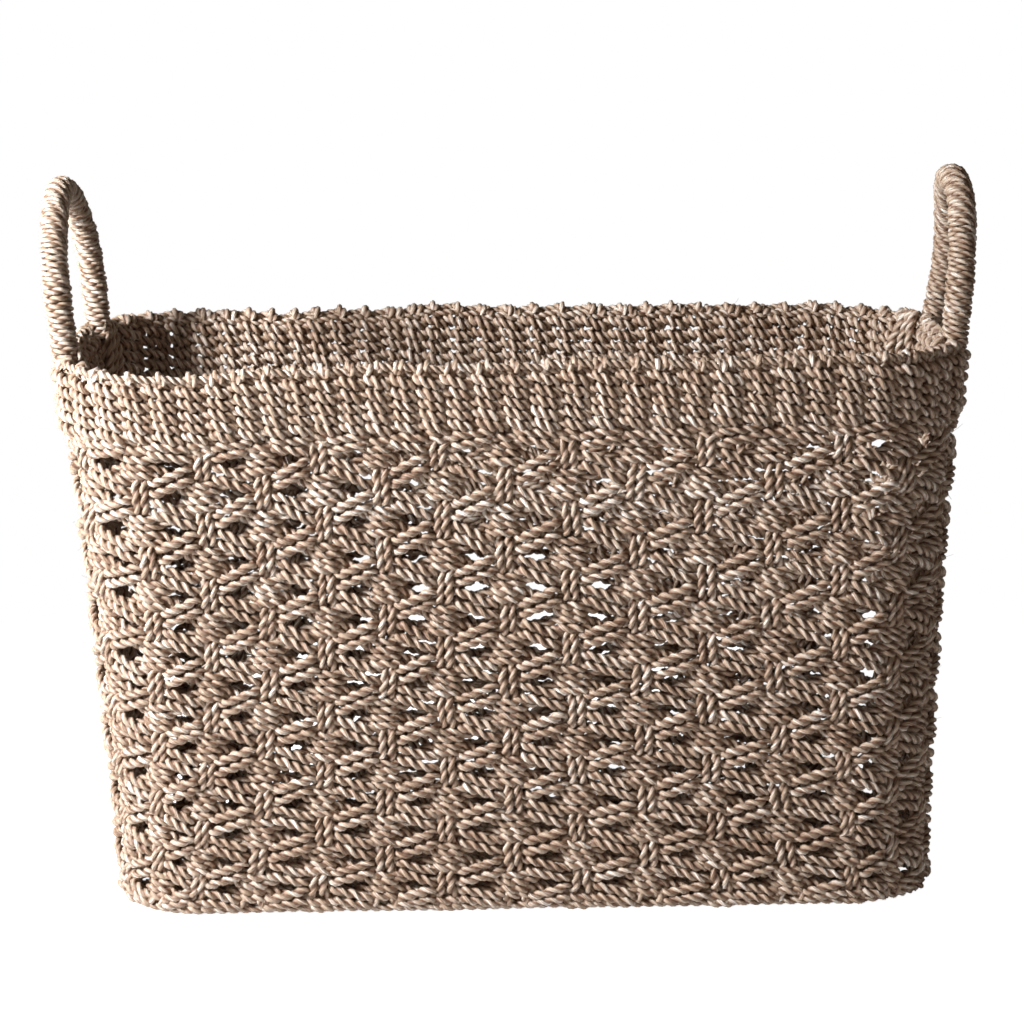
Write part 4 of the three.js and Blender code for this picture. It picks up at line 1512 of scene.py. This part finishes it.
@dataclass
class Studio:
    """Camera at the photograph's viewpoint, a pale floor and soft light from the left."""

    distance: float = 1.29193
    eye_height: float = 0.46874
    yaw: float = -0.00537
    roll: float = -0.0136
    tilt: float = 0.21515
    focal_pixels: float = 2590.99
    floor_half: float = 9.0
    floor_colour: tuple[float, float, float, float] = (0.8, 0.8, 0.8, 1.0)
    floor_glow: float = 0.96
    fade_start: float = 0.30
    fade_end: float = 0.62
    dim_colour: tuple[float, float, float, float] = (1.0, 0.84, 0.70, 1.0)
    dim_strength: float = 0.06
    lamps: tuple[Lamp, ...] = (
        Lamp("key", (-0.84, -0.45, 0.62), side=0.22, power=21.0, colour=(0.97, 1.0, 1.05)),
        Lamp("fill", (0.2, -1.6, 0.6), side=1.2, power=1.8, colour=(1.0, 0.86, 0.74)),
        Lamp("rear", (0.5, 1.7, 0.26), side=1.0, power=3.0, colour=(1.0, 0.93, 0.86)),
    )

    def add_camera(self) -> None:
        """Adds the camera with the fitted place, direction and lens."""
        yaw, tilt, roll = self.yaw, self.tilt, self.roll
        forward = Vector((-math.sin(yaw) * math.cos(tilt), math.cos(yaw) * math.cos(tilt), -math.sin(tilt)))
        level = Vector((math.cos(yaw), math.sin(yaw), 0.0))
        above = level.cross(forward)
        right = level * math.cos(roll) + above * math.sin(roll)
        up = above * math.cos(roll) - level * math.sin(roll)
        data = bpy.data.cameras.new("camera")
        data.sensor_width = SENSOR_WIDTH
        data.lens = self.focal_pixels * SENSOR_WIDTH / IMAGE_LONG_SIDE
        camera = bpy.data.objects.new("camera", data)
        turn = Matrix((right, up, -forward)).transposed()
        eye = Vector((self.distance * math.sin(yaw), -self.distance * math.cos(yaw), self.eye_height))
        camera.matrix_world = Matrix.Translation(eye) @ turn.to_4x4()
        bpy.context.scene.collection.objects.link(camera)
        bpy.context.scene.camera = camera

    def add_floor(self) -> None:
        """Adds a white floor that keeps the basket's soft shadow and fades into plain white."""
        half = self.floor_half
        mesh = bpy.data.meshes.new("floor")
        mesh.from_pydata([(-half, -half, 0), (half, -half, 0), (half, half, 0), (-half, half, 0)], [], [(0, 1, 2, 3)])
        floor = bpy.data.objects.new("floor", mesh)
        bpy.context.scene.collection.objects.link(floor)
        material = bpy.data.materials.new("white_floor")
        material.use_nodes = True
        material.node_tree.nodes.clear()
        bench = NodeBench(material.node_tree)
        matt = bench.add("ShaderNodeBsdfDiffuse", {"Color": self.floor_colour}).outputs["BSDF"]
        glow = bench.add("ShaderNodeEmission", {"Strength": self.floor_glow}).outputs["Emission"]
        near = bench.add("ShaderNodeAddShader", {0: matt, 1: glow}).outputs["Shader"]
        far = bench.add("ShaderNodeEmission", {"Strength": 1.0}).outputs["Emission"]
        place = bench.add("ShaderNodeTexCoord").outputs["Object"]
        away = bench.add("ShaderNodeVectorMath", {0: place}, operation="LENGTH").outputs["Value"]
        span = {"Value": away, "From Min": self.fade_start, "From Max": self.fade_end}
        fade = bench.add("ShaderNodeMapRange", span).outputs["Result"]
        seen = bench.add("ShaderNodeMixShader", {"Fac": fade, 1: near, 2: far}).outputs["Shader"]
        bench.add("ShaderNodeOutputMaterial", {"Surface": bench.shown(matt, seen)})
        mesh.materials.append(material)

    def add_sky(self) -> None:
        """Sets a white background for the camera and a dim even light for everything else."""
        world = bpy.data.worlds.new("studio")
        bpy.context.scene.world = world
        world.use_nodes = True
        world.node_tree.nodes.clear()
        bench = NodeBench(world.node_tree)
        dim = bench.add("ShaderNodeBackground", {"Color": self.dim_colour, "Strength": self.dim_strength})
        white = bench.add("ShaderNodeBackground", {"Color": (1.0, 1.0, 1.0, 1.0), "Strength": 1.0})
        shown = bench.shown(dim.outputs["Background"], white.outputs["Background"])
        bench.add("ShaderNodeOutputWorld", {"Surface": shown})

    def build(self) -> None:
        """Adds the floor, the background and the lamps."""
        bpy.context.scene.view_settings.view_transform = "Standard"
        self.add_floor()
        self.add_sky()
        for lamp in self.lamps:
            lamp.add()


def main() -> None:
    """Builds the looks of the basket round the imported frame."""
    logging.basicConfig(level=logging.INFO, format="%(name)s: %(message)s")
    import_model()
    studio = Studio()
    studio.add_camera()
    finishes = [
        CordFinish("stake_fibre", "stake_cord"),
        CordFinish("body_fibre", "body_cord"),
        CordFinish("band_fibre", "band_cord"),
        CordFinish("handle_fibre", "handle_cord", middle=(0.50, 0.37, 0.26)),
    ]
    shop = Workshop(Wall(), TwoPlyCord(), {finish.slot: finish.build() for finish in finishes})
    courses = Courses(shop)
    courses.build()
    ribs = Ribs(shop.wall.columns)
    stakes = Stakes(shop, courses, ribs)
    stakes.build()
    BaseWefts(shop, stakes).build()
    FootCord(shop).build()
    band = RimBand(shop, ribs)
    band.build()
    RimBorder(shop, band).build(stakes.taken_ribs())
    Handle(shop, End.LEFT, near_shift=-0.0004, far_shift=0.0027, lashing_spread=0.5).build()
    Handle(shop, End.RIGHT, near_shift=0.0006, far_shift=0.0090).build()
    StrayFibres(shop).build()
    studio.build()
    LOG.info("whole basket: %d pieces, %d triangles", len(shop.pieces), shop.triangles())


if __name__ == "__main__":
    main()
